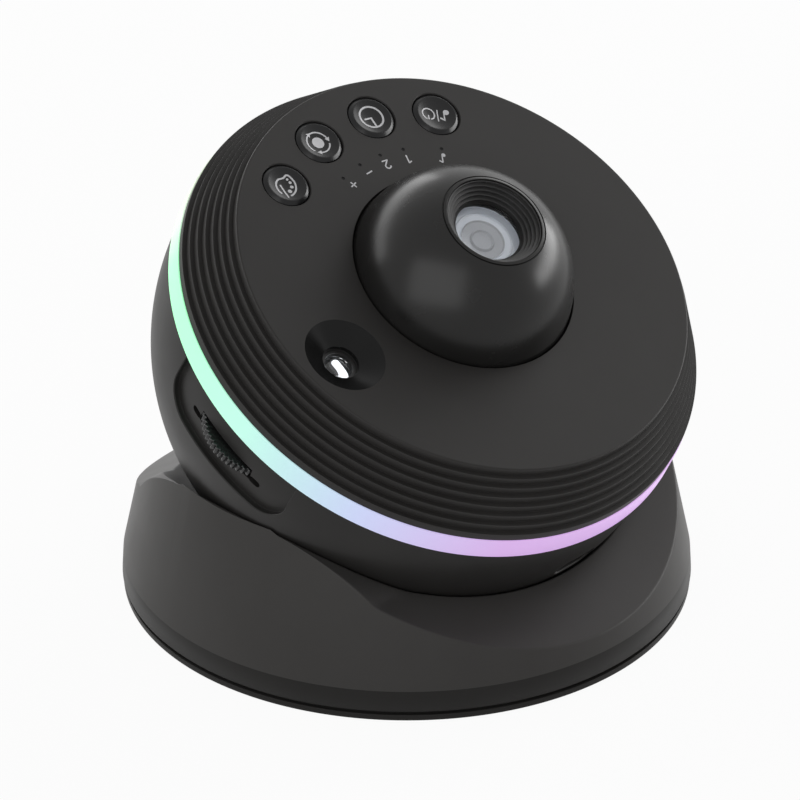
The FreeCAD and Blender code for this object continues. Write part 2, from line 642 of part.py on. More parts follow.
SHELL_POSTS = [polar("shell_post_circle", angle) for angle in ("20", "160", "235", "305")]
BUTTON_ANGLES = ["(button_angle + %d * button_step)" % number for number in range(4)]
PAD_ANGLES = ["lone_pad_angle"] + ["(pad_angle + %d * pad_step)" % number for number in range(4)]
FACE_UNDER = "(face_height - shell_wall)"


def terraces():
    """Corners of the stepped outer wall, from its foot up to the edge of the face."""
    corners = []
    count = int(SIZES["terrace_count"])
    for step in range(count):
        radius = "terrace_foot_radius - %d * (terrace_foot_radius - face_radius) / (terrace_count - 1)" % step
        for height in (step, step + 1):
            corners.append((radius, "%s + %d * (face_height - %s) / terrace_count" % (RING_TOP, height, RING_TOP)))
    return corners


def on_face_edge(edge):
    """Whether an edge is the outer rim of the face."""
    on_rim = abs(edge.BoundBox.XMax - value("face_radius")) < 0.01
    return on_rim and abs(edge.BoundBox.ZMin - value("face_height")) < 0.01


def upper_shell():
    hole = "dome_radius + dome_gap"
    body = turned("shell_body", [(hole, FACE_UNDER), ("face_radius - shell_wall - 0.6", FACE_UNDER),
                                 ("ring_radius - ring_thickness + 0.4", "%s + 1.5" % RING_TOP),
                                 ("ring_radius - ring_thickness + 0.4", RING_TOP)]
                  + terraces() + [(hole, "face_height")])
    solids = [rounded("shell_rounded", body, "face_round", on_face_edge)]
    for number, (x, y) in enumerate(SHELL_POSTS):
        solids.append(cylinder("shell_post_%d" % number, "shell_post_radius", "chassis_top", FACE_UNDER, x, y))
    funnel_low = "face_height - funnel_depth - 2.2"
    solids.append(cone("funnel_outside", "funnel_throat + 2.8", "funnel_radius + 2", funnel_low, FACE_UNDER,
                       SIDE_X, SIDE_Y))
    solids.append(cylinder("funnel_guide", "funnel_throat + 2.8", "sleeve_top - 4.5", funnel_low, SIDE_X, SIDE_Y))
    for number, angle in enumerate(("(button_angle - 12)", "(button_angle + 3 * button_step + 12)")):
        x, y = polar("button_circle", angle)
        solids.append(cylinder("board_pin_%d" % number, "2.2", "button_board_top", FACE_UNDER, x, y))
    tools = [cone("funnel", "funnel_throat", "funnel_radius", "face_height - funnel_depth", "face_height",
                  SIDE_X, SIDE_Y),
             cylinder("funnel_throat_hole", "funnel_throat", "sleeve_top - 5", "face_height", SIDE_X, SIDE_Y),
             cylinder("sleeve_guide", "side_cell_radius + running_gap + sleeve_wall + running_gap",
                      "sleeve_top - 5", "sleeve_top + 0.2", SIDE_X, SIDE_Y)]
    for number, angle in enumerate(BUTTON_ANGLES):
        x, y = polar("button_circle", angle)
        tools.append(cylinder("button_hole_%d" % number, "button_radius + button_gap", FACE_UNDER,
                              "face_height", x, y))
        tools.append(cone("button_well_%d" % number, "button_radius + button_gap", "button_well_radius",
                          "face_height - button_well_depth", "face_height", x, y))
    for number, angle in enumerate(PAD_ANGLES):
        x, y = polar("pad_circle", angle)
        tools.append(cylinder("pad_hole_%d" % number, "pipe_radius + 0.02", FACE_UNDER, "face_height", x, y))
    for number, (x, y) in enumerate(SHELL_POSTS):
        tools.append(cylinder("shell_post_hole_%d" % number, "screw_radius", "chassis_top",
                              "chassis_top + 14", x, y))
    piece("upper_shell", cut("upper_shell", fuse("shell_solid", solids), tools))


def shell_screws():
    piece("shell_screws", screws("shell_screws", SHELL_POSTS, "chassis_low - screw_head",
                                 "(chassis_top - chassis_low + 12)", -1))


# ---- chassis and ring light ----------------------------------------------------------------

BOARD_LEVEL = "(bowl_top + ring_board_gap)"


def chassis_plate():
    body = turned("chassis_body", [
        ("0", "chassis_low"), ("chassis_radius", "chassis_low"), ("chassis_radius", BOARD_LEVEL),
        ("chassis_radius - chassis_rim", BOARD_LEVEL), ("chassis_radius - chassis_rim", "chassis_top"),
        ("0", "chassis_top")])
    solids = [body]
    for number, (x, y) in enumerate(BOARD_POSTS):
        solids.append(cylinder("standoff_%d" % number, "2.5", MAIN_BOARD_TOP, "chassis_low", x, y))
    tools = [cylinder("shaft_bearing", "shaft_radius + running_gap", "chassis_low", "chassis_top", WHEEL_X)]
    for number, (x, y) in enumerate(BOARD_POSTS):
        tools.append(cylinder("standoff_hole_%d" % number, "screw_radius", MAIN_BOARD_TOP, "chassis_low - 4", x, y))
    for number, (x, y) in enumerate(SHELL_POSTS + BOWL_BOSSES):
        tools.append(cylinder("chassis_hole_%d" % number, "screw_radius + screw_hole_gap", "chassis_low",
                              "chassis_top", x, y))
    piece("chassis_plate", cut("chassis_plate", fuse("chassis_solid", solids), tools))


def ring_light():
    """A ring board on the chassis rim and the coloured lamps that shine through the light ring."""
    board_top = "%s + board_thickness" % BOARD_LEVEL
    outer = "ring_radius - ring_thickness - 0.3"
    piece("ring_board", tube("ring_board", "ring_board_inner", outer, BOARD_LEVEL, board_top))
    lamps = []
    for number in range(int(SIZES["ring_led_count"])):
        lamp = block("ring_led_%d" % number, ("%s - ring_led_size" % outer, outer), centred("ring_led_size / 2"),
                     (board_top, "%s + 1.4" % board_top))
        turn(lamp, (0, 0, 1), "%d * 360 / ring_led_count" % number)
        angle = "%d * 360 / ring_led_count" % number
        reach = "(%s - ring_led_size)" % outer
        move(lamp, "%s * cos(%s) + ring_led_size / 2 * sin(%s)" % (reach, angle, angle),
             "%s * sin(%s) - ring_led_size / 2 * cos(%s)" % (reach, angle, angle), board_top)
        lamps.append(lamp)
    piece("ring_leds", group("ring_leds", lamps))


# ---- dome and main lens --------------------------------------------------------------------

def dome():
    span = block("dome_span", centred("2 * dome_radius"), centred("2 * dome_radius"), ("dome_centre", "dome_top"))
    outside = common("dome_outside", [ball("dome_ball", "dome_radius", z="dome_centre"), span])
    flange_top = "%s - fit" % FACE_UNDER
    flange = cylinder("dome_flange", "dome_flange_radius", "%s - dome_flange_height" % flange_top, flange_top)
    inner_span = block("dome_inner_span", centred("2 * dome_radius"), centred("2 * dome_radius"),
                       ("dome_centre - 10", "dome_top + 10"))
    inside = common("dome_inside", [ball("dome_inner_ball", "dome_radius - dome_wall", z="dome_centre"),
                                    inner_span])
    throat = common("throat_trim", [cylinder("throat_tube", "throat_radius + throat_wall", "throat_low",
                                             "dome_top"), outside])
    shell = cut("dome_shell", fuse("dome_solid", [outside, flange]), [inside])
    bore = cylinder("throat_bore", "throat_radius", "throat_low", "dome_top")
    piece("dome", cut("dome", fuse("dome_with_throat", [shell, throat]), [bore]))


def lens_baffle():
    """Stepped rings that narrow from the mouth of the dome to the front lens."""
    steps = 5
    low = "lens_front + 0.6"
    corners = [("throat_radius - fit", low), ("throat_radius - fit", "baffle_top"),
               ("baffle_mouth_radius", "baffle_top")]
    for step in range(steps):
        height = "baffle_top - %d * (baffle_top - lens_front - 0.6) / %d" % (step + 1, steps)
        narrow = "baffle_mouth_radius - %d * (baffle_mouth_radius - lens_view_radius) / %d"
        corners.append((narrow % (step, steps), height))
        if step + 1 < steps:
            corners.append((narrow % (step + 1, steps), height))
    piece("lens_baffle", turned("lens_baffle", corners))


def lens_barrel():
    seat = "lens_front - 3.4"
    piece("lens_barrel", turned("lens_barrel", [
        ("lens_radius - 1.6", "barrel_low"), ("throat_radius - fit", "barrel_low"),
        ("throat_radius - fit", "lens_front + 0.4"), ("lens_radius + 0.05", "lens_front + 0.4"),
        ("lens_radius + 0.05", seat), ("lens_radius - 1.2", "%s - 0.6" % seat),
        ("lens_radius - 1.2", "barrel_low + 6.5"), ("lens_radius - 1.6", "barrel_low + 6.0")]))


def lens(name, radius, low, high, bulge, x="0", y="0"):
    """A lens bounded by two equal balls and a round edge."""
    curve = "((pow(%s; 2) + pow(%s; 2)) / (2 * %s))" % (radius, bulge, bulge)
    lower = ball(name + "_lower", curve, z="(%s) + %s" % (low, curve))
    upper = ball(name + "_upper", curve, z="(%s) - %s" % (high, curve))
    edge = cylinder(name + "_edge", radius, low, high)
    return piece(name, common(name, [edge, lower, upper]), x=x, y=y)


def main_lenses():
    lens("front_lens", "lens_radius", "lens_front - 3.4", "lens_front", "1.2")
    lens("rear_lens", "(lens_radius - 1.25)", "barrel_low + 7.5", "barrel_low + 11.5", "1.6")
    lens("condenser_lens", "(holder_bore - 0.05)", "chassis_top + sink_base + 6.2",
         "chassis_top + sink_base + 11.2", "2.0")


# ---- film carrier, motor and lamp ----------------------------------------------------------

SINK_TOP = "(chassis_top + sink_base)"
MOTOR_CENTRES = "(gear_module * (carrier_teeth + pinion_teeth) / 2)"
MOTOR_X, MOTOR_Y = polar(MOTOR_CENTRES, "motor_angle")
MOTOR_LOW = "(chassis_top + 0.8)"
MOTOR_TOP = "(chassis_top + 0.8 + motor_height)"
FILM_LEVEL = "(holder_top + 0.5)"


def heat_sink():
    base = disc("sink_base_disc", "sink_radius", "chassis_top", SINK_TOP)
    ring_inner = "holder_radius + 0.4"
    sketch = outline(base, "sink_fin", "XY_Plane", [
        (ring_inner, "-fin_thickness / 2"), ("sink_radius - 0.2", "-fin_thickness / 2"),
        ("sink_radius - 0.2", "fin_thickness / 2"), (ring_inner, "fin_thickness / 2")], "chassis_top")
    fin = base.newObject("PartDesign::Pad", "sink_fin_pad")
    fin.Profile = sketch
    bind(fin, Length="sink_base + fin_height")
    DOC.recompute()
    pattern = base.newObject("PartDesign::PolarPattern", "sink_fins")
    pattern.Originals = [fin]
    pattern.Axis = (sketch, ["N_Axis"])
    pattern.Angle = 360
    bind(pattern, Occurrences="fin_count")
    base.Tip = pattern
    piece("heat_sink", base)


def lamp():
    board_top = "%s + board_thickness" % SINK_TOP
    piece("lamp_board", disc("lamp_board", "led_board_radius", SINK_TOP, board_top))
    chip = block("lamp_chip", centred("2.5"), centred("2.5"), (board_top, "%s + 0.8" % board_top))
    bead = common("lamp_bead", [ball("lamp_ball", "2.2", z="%s + 0.8" % board_top),
                                block("lamp_half", centred("3"), centred("3"),
                                      ("%s + 0.4" % board_top, "%s + 4" % board_top))])
    piece("lamp_led", fuse("lamp_led", [chip, bead]))


def condenser_holder():
    """The tube that stands on the heat sink, holds the condenser and carries the turning film."""
    lens_seat = "%s + 6.1" % SINK_TOP
    piece("condenser_holder", turned("condenser_holder", [
        ("holder_bore - 1.2", SINK_TOP), ("holder_radius", SINK_TOP), ("holder_radius", "carrier_low - 1.1"),
        ("holder_radius + 2", "carrier_low - 1.1"), ("holder_radius + 2", "carrier_low - 0.1"),
        ("holder_radius", "carrier_low - 0.1"), ("holder_radius", "holder_top"),
        ("holder_bore", "holder_top"), ("holder_bore", lens_seat), ("holder_bore - 1.2", lens_seat)]))


def film_carrier():
    body = gear("film_carrier_gear", "gear_module", "carrier_teeth", "carrier_low",
                "carrier_low + carrier_gear_height", "motor_angle")
    cup_top = "%s + film_thickness + 0.8" % FILM_LEVEL
    cup = cylinder("film_cup", "film_radius + 2.5", "carrier_low", cup_top)
    tools = [cylinder("film_bore", "holder_radius + running_gap", "carrier_low", "holder_top + 0.2"),
             cylinder("film_window", "film_radius - 1.5", "carrier_low", cup_top),
             cylinder("film_seat", "film_radius + 0.02", FILM_LEVEL, cup_top)]
    piece("film_carrier", cut("film_carrier", fuse("film_carrier_solid", [body, cup]), tools))


def film_disc():
    piece("film_disc", disc("film_disc", "film_radius", FILM_LEVEL, "%s + film_thickness" % FILM_LEVEL))


def film_motor():
    can = cylinder("motor_can", "motor_radius", MOTOR_LOW, MOTOR_TOP)
    nose = cylinder("motor_nose", "2.2", MOTOR_TOP, "%s + motor_nose" % MOTOR_TOP)
    piece("film_motor", fuse("film_motor", [can, nose]), x=MOTOR_X, y=MOTOR_Y)
    clamp = cut("clamp_body", cylinder("clamp_outside", "motor_radius + clamp_wall", "chassis_top",
                                       "chassis_top + 8"),
                [cylinder("clamp_inside", "motor_radius", MOTOR_LOW, "chassis_top + 9")])
    piece("motor_clamp", clamp, x=MOTOR_X, y=MOTOR_Y)


def motor_pinion():
    teeth = gear("pinion_gear", "gear_module", "pinion_teeth", "carrier_low",
                 "carrier_low + carrier_gear_height", "(motor_angle + 180 + 180 / pinion_teeth)")
    shaft = cylinder("pinion_shaft", "motor_shaft_radius", "%s + motor_nose" % MOTOR_TOP, "carrier_low + 1")
    piece("motor_pinion", fuse("motor_pinion", [teeth, shaft]), x=MOTOR_X, y=MOTOR_Y)


# ---- buttons and indicators ----------------------------------------------------------------

def button(label, angle):
    """A round cap with a dished top, held under the face by its flange."""
    x, y = polar("button_circle", angle)
    flange_top = "%s - 0.3" % FACE_UNDER
    top = "face_height + button_rise"
    body = turned(label + "_cap", [
        ("0", "button_board_top + switch_height + button_travel + 0.15"),
        ("stem_radius", "button_board_top + switch_height + button_travel + 0.15"),
        ("stem_radius", "%s - button_flange" % flange_top),
        ("button_radius + 0.9", "%s - button_flange" % flange_top), ("button_radius + 0.9", flange_top),
        ("button_radius", flange_top), ("button_radius", "face_height - 0.35"),
        ("button_dish_radius + 0.15", top), ("0", top)])
    hollow_radius = "((pow(button_dish_radius; 2) + pow(button_dish_depth; 2)) / (2 * button_dish_depth))"
    dish = ball(label + "_dish", hollow_radius, z="%s - button_dish_depth + %s" % (top, hollow_radius))
    piece(label, cut(label, body, [dish]), x=x, y=y)


def buttons():
    for label, angle in zip(("power_button", "timer_button", "rotation_button", "colour_button"), BUTTON_ANGLES):
        button(label, angle)


def button_board():
    """A curved board under the face with a push switch below each button."""
    low = "button_board_top - 1.6"
    start = "(button_angle - 15)"
    sector = cylinder("board_sector", "button_circle + 8", low, "button_board_top")
    bind(sector, Angle="3 * button_step + 30")
    turn(sector, (0, 0, 1), start)
    move(sector, z=low)
    middle = cylinder("board_middle", "pad_circle - 3", low, "button_board_top")
    piece("button_board", cut("button_board", sector, [middle]))
    switches = []
    for number, angle in enumerate(BUTTON_ANGLES):
        x, y = polar("button_circle", angle)
        case = block("switch_case_%d" % number, centred("switch_size / 2", x), centred("switch_size / 2", y),
                     ("button_board_top", "button_board_top + switch_height - 0.9"))
        plunger = cylinder("switch_plunger_%d" % number, "stem_radius", "button_board_top + 1",
                           "button_board_top + switch_height", x, y)
        switches.append(fuse("switch_%d" % number, [case, plunger]))
    piece("push_switches", group("push_switches", switches))


def indicator_pipes():
    pipes = []
    for number, angle in enumerate(PAD_ANGLES):
        x, y = polar("pad_circle", angle)
        pipes.append(cylinder("pipe_%d" % number, "pipe_radius", "button_board_top", "face_height - 0.1", x, y))
    piece("indicator_pipes", group("indicator_pipes", pipes))


# ---- side lens and focus wheel -------------------------------------------------------------

MESH_ANGLE = "(atan2(-(%s); (%s) - (%s)) / 1 deg)" % (SIDE_Y, WHEEL_X, SIDE_X)
SLEEVE_RADIUS = "(side_cell_radius + running_gap + sleeve_wall)"
GEAR_TOP = "side_gear_low + side_gear_height"


def side_lamp():
    """The second lamp: a small cup on the chassis with its light source and its star film."""
    cup = turned("side_cup", [
        ("0", "chassis_top"), ("7.4", "chassis_top"), ("7.4", "sleeve_low - 0.1"), ("5.2", "sleeve_low - 0.1"),
        ("5.2", "chassis_top + 1.2"), ("0", "chassis_top + 1.2")])
    piece("side_cup", cup, x=SIDE_X, y=SIDE_Y)
    piece("side_led", disc("side_led", "3.4", "chassis_top + 1.2", "chassis_top + 3"), x=SIDE_X, y=SIDE_Y)
    piece("side_film", disc("side_film", "5.15", "sleeve_low - 1", "sleeve_low - 0.2"), x=SIDE_X, y=SIDE_Y)


def focus_sleeve():
    """A geared sleeve whose inner thread moves the side lens cell up and down."""
    body = gear("sleeve_gear", "fine_module", "sleeve_teeth", "side_gear_low", GEAR_TOP, MESH_ANGLE)
    wall = cylinder("sleeve_wall_tube", SLEEVE_RADIUS, "sleeve_low", "sleeve_top")
    bore = cylinder("sleeve_bore", "side_cell_radius + running_gap", "sleeve_low", "sleeve_top")
    piece("focus_sleeve", cut("focus_sleeve", fuse("sleeve_solid", [body, wall]), [bore]), x=SIDE_X, y=SIDE_Y)


def side_lens_cell():
    piece("side_lens_cell", turned("side_lens_cell", [
        ("side_lens_radius - 0.7", "cell_low"), ("side_cell_radius", "cell_low"),
        ("side_cell_radius", "cell_top"), ("side_lens_radius", "cell_top"),
        ("side_lens_radius", "cell_top - 3.4"), ("side_lens_radius - 0.7", "cell_top - 3.4")]),
        x=SIDE_X, y=SIDE_Y)
    lens("side_lens", "side_lens_radius", "cell_top - 3.4", "cell_top - 0.4", "0.9", x=SIDE_X, y=SIDE_Y)


def focus_wheel():
    """A knurled thumb wheel whose edge stands out of the bowl's recess."""
    top = "wheel_low + wheel_thickness"
    root = "(%s - knurl_depth)" % WHEEL_RADIUS
    body = toothed("wheel_rim", "knurl_count", "wheel_low", top, root, WHEEL_RADIUS, "1.2", "0.6")
    shaft_hole = cylinder("wheel_shaft_hole", "shaft_radius", "wheel_low", top)
    piece("focus_wheel", cut("focus_wheel", body, [shaft_hole]), x=WHEEL_X)


def focus_shaft():
    shaft = cylinder("shaft_rod", "shaft_radius", "wheel_low - 4", "%s + 1" % GEAR_TOP)
    pinion = gear("shaft_gear", "fine_module", "wheel_teeth", "side_gear_low", GEAR_TOP,
                  "(%s + 180 + 180 / wheel_teeth)" % MESH_ANGLE)
    piece("focus_shaft", fuse("focus_shaft", [shaft, pinion]), x=WHEEL_X)


def wheel_bracket():
    """An arm under the chassis that carries the lower end of the focus shaft."""
    arm_low = "wheel_low - 3.6"
    arm = block("bracket_arm", ("-4", "%s + 7" % WHEEL_RADIUS), centred("4"),
                (arm_low, "%s + bracket_thickness" % arm_low))
    leg = block("bracket_leg", ("%s + 2" % WHEEL_RADIUS, "%s + 7" % WHEEL_RADIUS), centred("4"),
                (arm_low, "chassis_low"))
    hole = cylinder("bracket_hole", "shaft_radius + running_gap", "wheel_low - 5", "wheel_low")
    piece("wheel_bracket", cut("wheel_bracket", fuse("bracket_solid_arm", [arm, leg]), [hole]), x=WHEEL_X)


# ---- main board, socket and speaker --------------------------------------------------------

MAIN_BOARD_TOP = "(port_height - socket_height / 2)"
BOARD_POSTS = [(x, y) for x in ("-board_width / 2 + 3", "board_width / 2 - 3")
               for y in ("board_near - 4", "board_far + 8")]


def main_board():
    low = "%s - 1.6" % MAIN_BOARD_TOP
    board = block("board_blank", centred("board_width / 2"), ("board_far", "board_near"), (low, MAIN_BOARD_TOP))
    holes = [cylinder("board_hole_%d" % number, "screw_radius + fit", low, MAIN_BOARD_TOP, x, y)
             for number, (x, y) in enumerate(BOARD_POSTS)]
    piece("main_board", cut("main_board", board, holes))
    piece("board_screws", screws("board_screws", BOARD_POSTS, "(%s) - screw_head" % low, "7", -1))
    chips = [block("chip_large", centred("5", "-4"), centred("5", "-38"), ("%s - 1.4" % low, low)),
             block("chip_small", centred("3", "10"), centred("2", "-46"), ("%s - 1.2" % low, low)),
             block("chip_radio", centred("6", "8"), centred("4", "-30"), ("%s - 1.8" % low, low))]
    for number, across in enumerate((-12, -6, 0)):
        chips.append(cylinder("capacitor_%d" % number, "2.5", "%s - 6" % low, low, str(across), "-54"))
    piece("board_parts", group("board_parts", chips))


def usb_socket():
    """A flat charging socket: a metal mouth with a tongue inside."""
    front = "%s + 0.2" % PORT_FLOOR
    half_width = "socket_width / 2"
    half_height = "socket_height / 2"
    shell = block("socket_shell", centred(half_width, "port_x"), (front, "%s + socket_length" % front),
                  centred(half_height, "port_height"))
    mouth = block("socket_mouth", centred("%s - 0.35" % half_width, "port_x"),
                  (front, "%s + socket_length - 1.2" % front), centred("%s - 0.35" % half_height, "port_height"))
    tongue = block("socket_tongue", centred("%s - 1.3" % half_width, "port_x"),
                   ("%s + 1.0" % front, "%s + socket_length - 1" % front), centred("0.35", "port_height"))
    piece("usb_socket", fuse("usb_socket", [cut("socket_case", shell, [mouth]), tongue]))


def speaker():
    floor = "(-bowl_depth + bowl_floor)"
    back = "(%s + speaker_height - magnet_height)" % floor
    rim_top = "%s + speaker_flange" % floor
    basket = turned("speaker_basket", [
        ("speaker_radius - 2.4", floor), ("speaker_radius", floor), ("speaker_radius", rim_top),
        ("speaker_radius - 1.6", rim_top), ("magnet_radius", back),
        ("magnet_radius", "%s + magnet_height" % back), ("0", "%s + magnet_height" % back), ("0", back),
        ("magnet_radius - 1.6", back), ("speaker_radius - 2.4", "%s + speaker_flange" % floor)])
    piece("speaker_basket", basket, x="speaker_x")
    paper = turned("speaker_cone", [
        ("4", "%s - 0.2" % back), ("speaker_radius - 3.2", "%s + 1" % floor),
        ("speaker_radius - 2.5", "%s + 1" % floor), ("speaker_radius - 2.5", "%s + 0.4" % floor),
        ("speaker_radius - 3.6", "%s + 0.4" % floor), ("3.4", "%s - 1.2" % back), ("0", "%s - 2.2" % back),
        ("0", "%s - 1.2" % back)])
    piece("speaker_cone", paper, x="speaker_x")


# ---- build, check and write ----------------------------------------------------------------

def build():
    for make in (base_shell, base_plate, foot_ring, base_screws, ballast, tilt_post, post_screws,
                 tilt_bracket, friction_washers, tilt_pin, pin_nut,
                 lower_bowl, bowl_screws, light_ring, upper_shell, shell_screws,
                 chassis_plate, ring_light, dome, lens_baffle, lens_barrel, main_lenses,
                 heat_sink, lamp, condenser_holder, film_carrier, film_disc, film_motor, motor_pinion,
                 buttons, button_board, indicator_pipes,
                 side_lamp, focus_sleeve, side_lens_cell, focus_wheel, focus_shaft, wheel_bracket,
                 main_board, usb_socket, speaker):
        make()
    DOC.recompute()


def check():
    """Stop if any object failed to compute or any piece is not a sound solid."""
    failed = [thing.Label for thing in DOC.Objects if "Invalid" in thing.State or "Error" in thing.State]
    unsound = [thing.Label for thing in PIECES
               if thing.Shape.isNull() or not thing.Shape.isValid() or not thing.Shape.Solids]
    if failed or unsound:
        raise SystemExit("failed: %s; unsound: %s" % (failed, unsound))


def write():
    os.makedirs("parts", exist_ok=True)
    for thing in PIECES:
        thing.Shape.exportStep("parts/%s.step" % thing.Label)


build()
check()
write()
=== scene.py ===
import math

import bpy
from mathutils import Matrix, Vector


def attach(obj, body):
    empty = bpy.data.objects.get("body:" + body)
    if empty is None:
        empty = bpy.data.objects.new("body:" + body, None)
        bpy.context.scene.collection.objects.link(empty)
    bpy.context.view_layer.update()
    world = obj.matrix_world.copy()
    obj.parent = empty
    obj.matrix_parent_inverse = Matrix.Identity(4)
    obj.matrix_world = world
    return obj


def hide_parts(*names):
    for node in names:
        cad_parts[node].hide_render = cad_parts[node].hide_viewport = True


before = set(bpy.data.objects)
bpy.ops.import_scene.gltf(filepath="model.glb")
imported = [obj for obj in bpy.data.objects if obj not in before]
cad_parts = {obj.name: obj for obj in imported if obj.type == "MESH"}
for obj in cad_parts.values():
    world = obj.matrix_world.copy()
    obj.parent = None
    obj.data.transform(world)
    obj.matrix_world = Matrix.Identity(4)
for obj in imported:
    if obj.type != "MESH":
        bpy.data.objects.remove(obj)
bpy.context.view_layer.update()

# Sizes are in millimetres, as in the CAD model. The head's pieces are drawn upright about the
# centre of the ball, with Z along the head's axis, and HEAD carries them to where the head leans.
TILT = math.radians(30)
PIVOT_HEIGHT, PIVOT_DROP = 66.6, 10.9
BALL_SHIFT = PIVOT_DROP * math.sin(TILT)
BALL_HEIGHT = PIVOT_HEIGHT + PIVOT_DROP * math.cos(TILT)
HEAD = Matrix.Translation((0, -BALL_SHIFT / 1000, BALL_HEIGHT / 1000)) @ Matrix.Rotation(TILT, 4, "X")

# Radii about the head's axis, and heights along it from the centre of the ball.
BOWL_RADIUS, BOWL_DEPTH, BOWL_TOP, BOWL_WALL = 73.4, 50.0, 5.9, 2.5
RING_TOP = 13.0
FACE, FACE_RADIUS, FACE_UNDER = 32.6, 65.1, 30.2
LENS_FRONT = 50.3

# The buttons stand on a circle round the dome, each a step further on.
BUTTON_CIRCLE, BUTTON_ANGLE, BUTTON_STEP = 53.2, 58.0, 21.5
BUTTON_RADIUS, BUTTON_GAP = 6.7, 0.25

# The small projector's axis, and the thumb wheel beside it, a pair of gears away.
SIDE_CIRCLE, SIDE_ANGLE = 50.7, math.radians(187.8)
SIDE = (SIDE_CIRCLE * math.cos(SIDE_ANGLE), SIDE_CIRCLE * math.sin(SIDE_ANGLE))
GEAR_MODULE, SHAFT_TEETH, SLEEVE_TEETH = 0.6, 15, 23
GEAR_DISTANCE = GEAR_MODULE * (SHAFT_TEETH + SLEEVE_TEETH) / 2
WHEEL_X = SIDE[0] - math.sqrt(GEAR_DISTANCE ** 2 - SIDE[1] ** 2)
WHEEL_LOW, WHEEL_TOP, WHEEL_PROUD = -7.3, -4.9, 1.2
WHEEL_RADIUS = BOWL_RADIUS + WHEEL_PROUD + WHEEL_X

# Screws: the holes they pass through and the bores their heads sink into.
SCREW_HOLE, SCREW_HEAD = 1.6, 3.05
SCREW_ANGLES = (45, 135, 225, 315)


# ---- camera --------------------------------------------------------------------------------

# The camera in metres, before it turns about Z by its bearing. The focal length is in pixels.
CAMERA_BEARING, CAMERA_DROP = math.radians(-44.46), math.radians(29.76)
CAMERA_PLACE = Vector((-0.00187, -2.6044, 1.54466))
FOCAL_PIXELS, PICTURE_PIXELS, SENSOR_WIDTH = 10993.9, 800, 36


def add_camera():
    data = bpy.data.cameras.new("camera")
    data.sensor_width = SENSOR_WIDTH
    data.lens = FOCAL_PIXELS * SENSOR_WIDTH / PICTURE_PIXELS
    data.clip_end = 20
    camera = bpy.data.objects.new("camera", data)
    camera.location = Matrix.Rotation(CAMERA_BEARING, 3, "Z") @ CAMERA_PLACE
    camera.rotation_euler = (math.pi / 2 - CAMERA_DROP, 0, CAMERA_BEARING)
    bpy.context.scene.collection.objects.link(camera)
    bpy.context.scene.camera = camera


# ---- outlines ------------------------------------------------------------------------------

def polar(radius, degrees):
    return radius * math.cos(math.radians(degrees)), radius * math.sin(math.radians(degrees))


def rounded(corners, closed=True, steps=5):
    """A profile's points, where a corner (r, z, radius) is rounded to that radius."""
    points = []
    count = len(corners)
    for index, corner in enumerate(corners):
        here = Vector(corner[:2])
        radius = corner[2] if len(corner) > 2 else 0
        ends = not closed and index in (0, count - 1)
        if radius <= 0 or ends:
            points.append(tuple(here))
            continue
        before = Vector(corners[index - 1][:2]) - here
        after = Vector(corners[(index + 1) % count][:2]) - here
        angle = before.angle(after)
        reach = min(radius / math.tan(angle / 2), 0.48 * before.length, 0.48 * after.length)
        start = here + before.normalized() * reach
        end = here + after.normalized() * reach
        for step in range(steps + 1):
            share = step / steps
            rest = 1 - share
            points.append(tuple(rest ** 2 * start + 2 * share * rest * here + share ** 2 * end))
    return points


def arc(radius, centre_height, low, high, steps):
    """Points of a ball's outline between two heights, as (r, z)."""
    points = []
    start = math.asin((low - centre_height) / radius)
    end = math.asin((high - centre_height) / radius)
    for step in range(steps + 1):
        angle = start + (end - start) * step / steps
        points.append((radius * math.cos(angle), centre_height + radius * math.sin(angle)))
    return points


def round_bar(half_length, half_height, middle=(0, 0), steps=16):
    """A flat outline with half-round ends, longer across than up."""
    outline = []
    for end in (1, -1):
        for step in range(steps + 1):
            angle = end * math.pi / 2 * (2 * step / steps - 1)
            outline.append((middle[0] + end * (half_length - half_height + half_height * math.cos(angle)),
                            middle[1] + half_height * math.sin(angle)))
    return outline


# ---- meshes --------------------------------------------------------------------------------

def new_object(name, points, faces):
    mesh = bpy.data.meshes.new(name)
    mesh.from_pydata(points, [], faces)
    mesh.update()
    obj = bpy.data.objects.new(name, mesh)
    bpy.context.scene.collection.objects.link(obj)
    return obj


def lathe(name, corners, steps=256, closed=True, centre=(0, 0)):
    """A surface turned about a line parallel to Z. Points on the axis become a single point."""
    profile = rounded(corners, closed)
    points, rows = [], []
    for radius, height in profile:
        if radius < 1e-6:
            rows.append([len(points)])
            points.append((centre[0], centre[1], height))
            continue
        rows.append(range(len(points), len(points) + steps))
        for step in range(steps):
            angle = 2 * math.pi * step / steps
            x, y = centre[0] + radius * math.cos(angle), centre[1] + radius * math.sin(angle)
            points.append((x, y, height))
    faces = []
    last = len(rows) if closed else len(rows) - 1
    for index in range(last):
        low, high = rows[index], rows[(index + 1) % len(rows)]
        if len(low) == 1 and len(high) == 1:
            continue
        for step in range(steps):
            after = (step + 1) % steps
            if len(low) == 1:
                faces.append((low[0], high[after], high[step]))
            elif len(high) == 1:
                faces.append((low[step], low[after], high[0]))
            else:
                faces.append((low[step], low[after], high[after], high[step]))
    return new_object(name, points, faces)


def drill(radius, low, high, centre, steps=32):
    return lathe("drill", [(0, low), (radius, low), (radius, high), (0, high)], steps, False, centre)


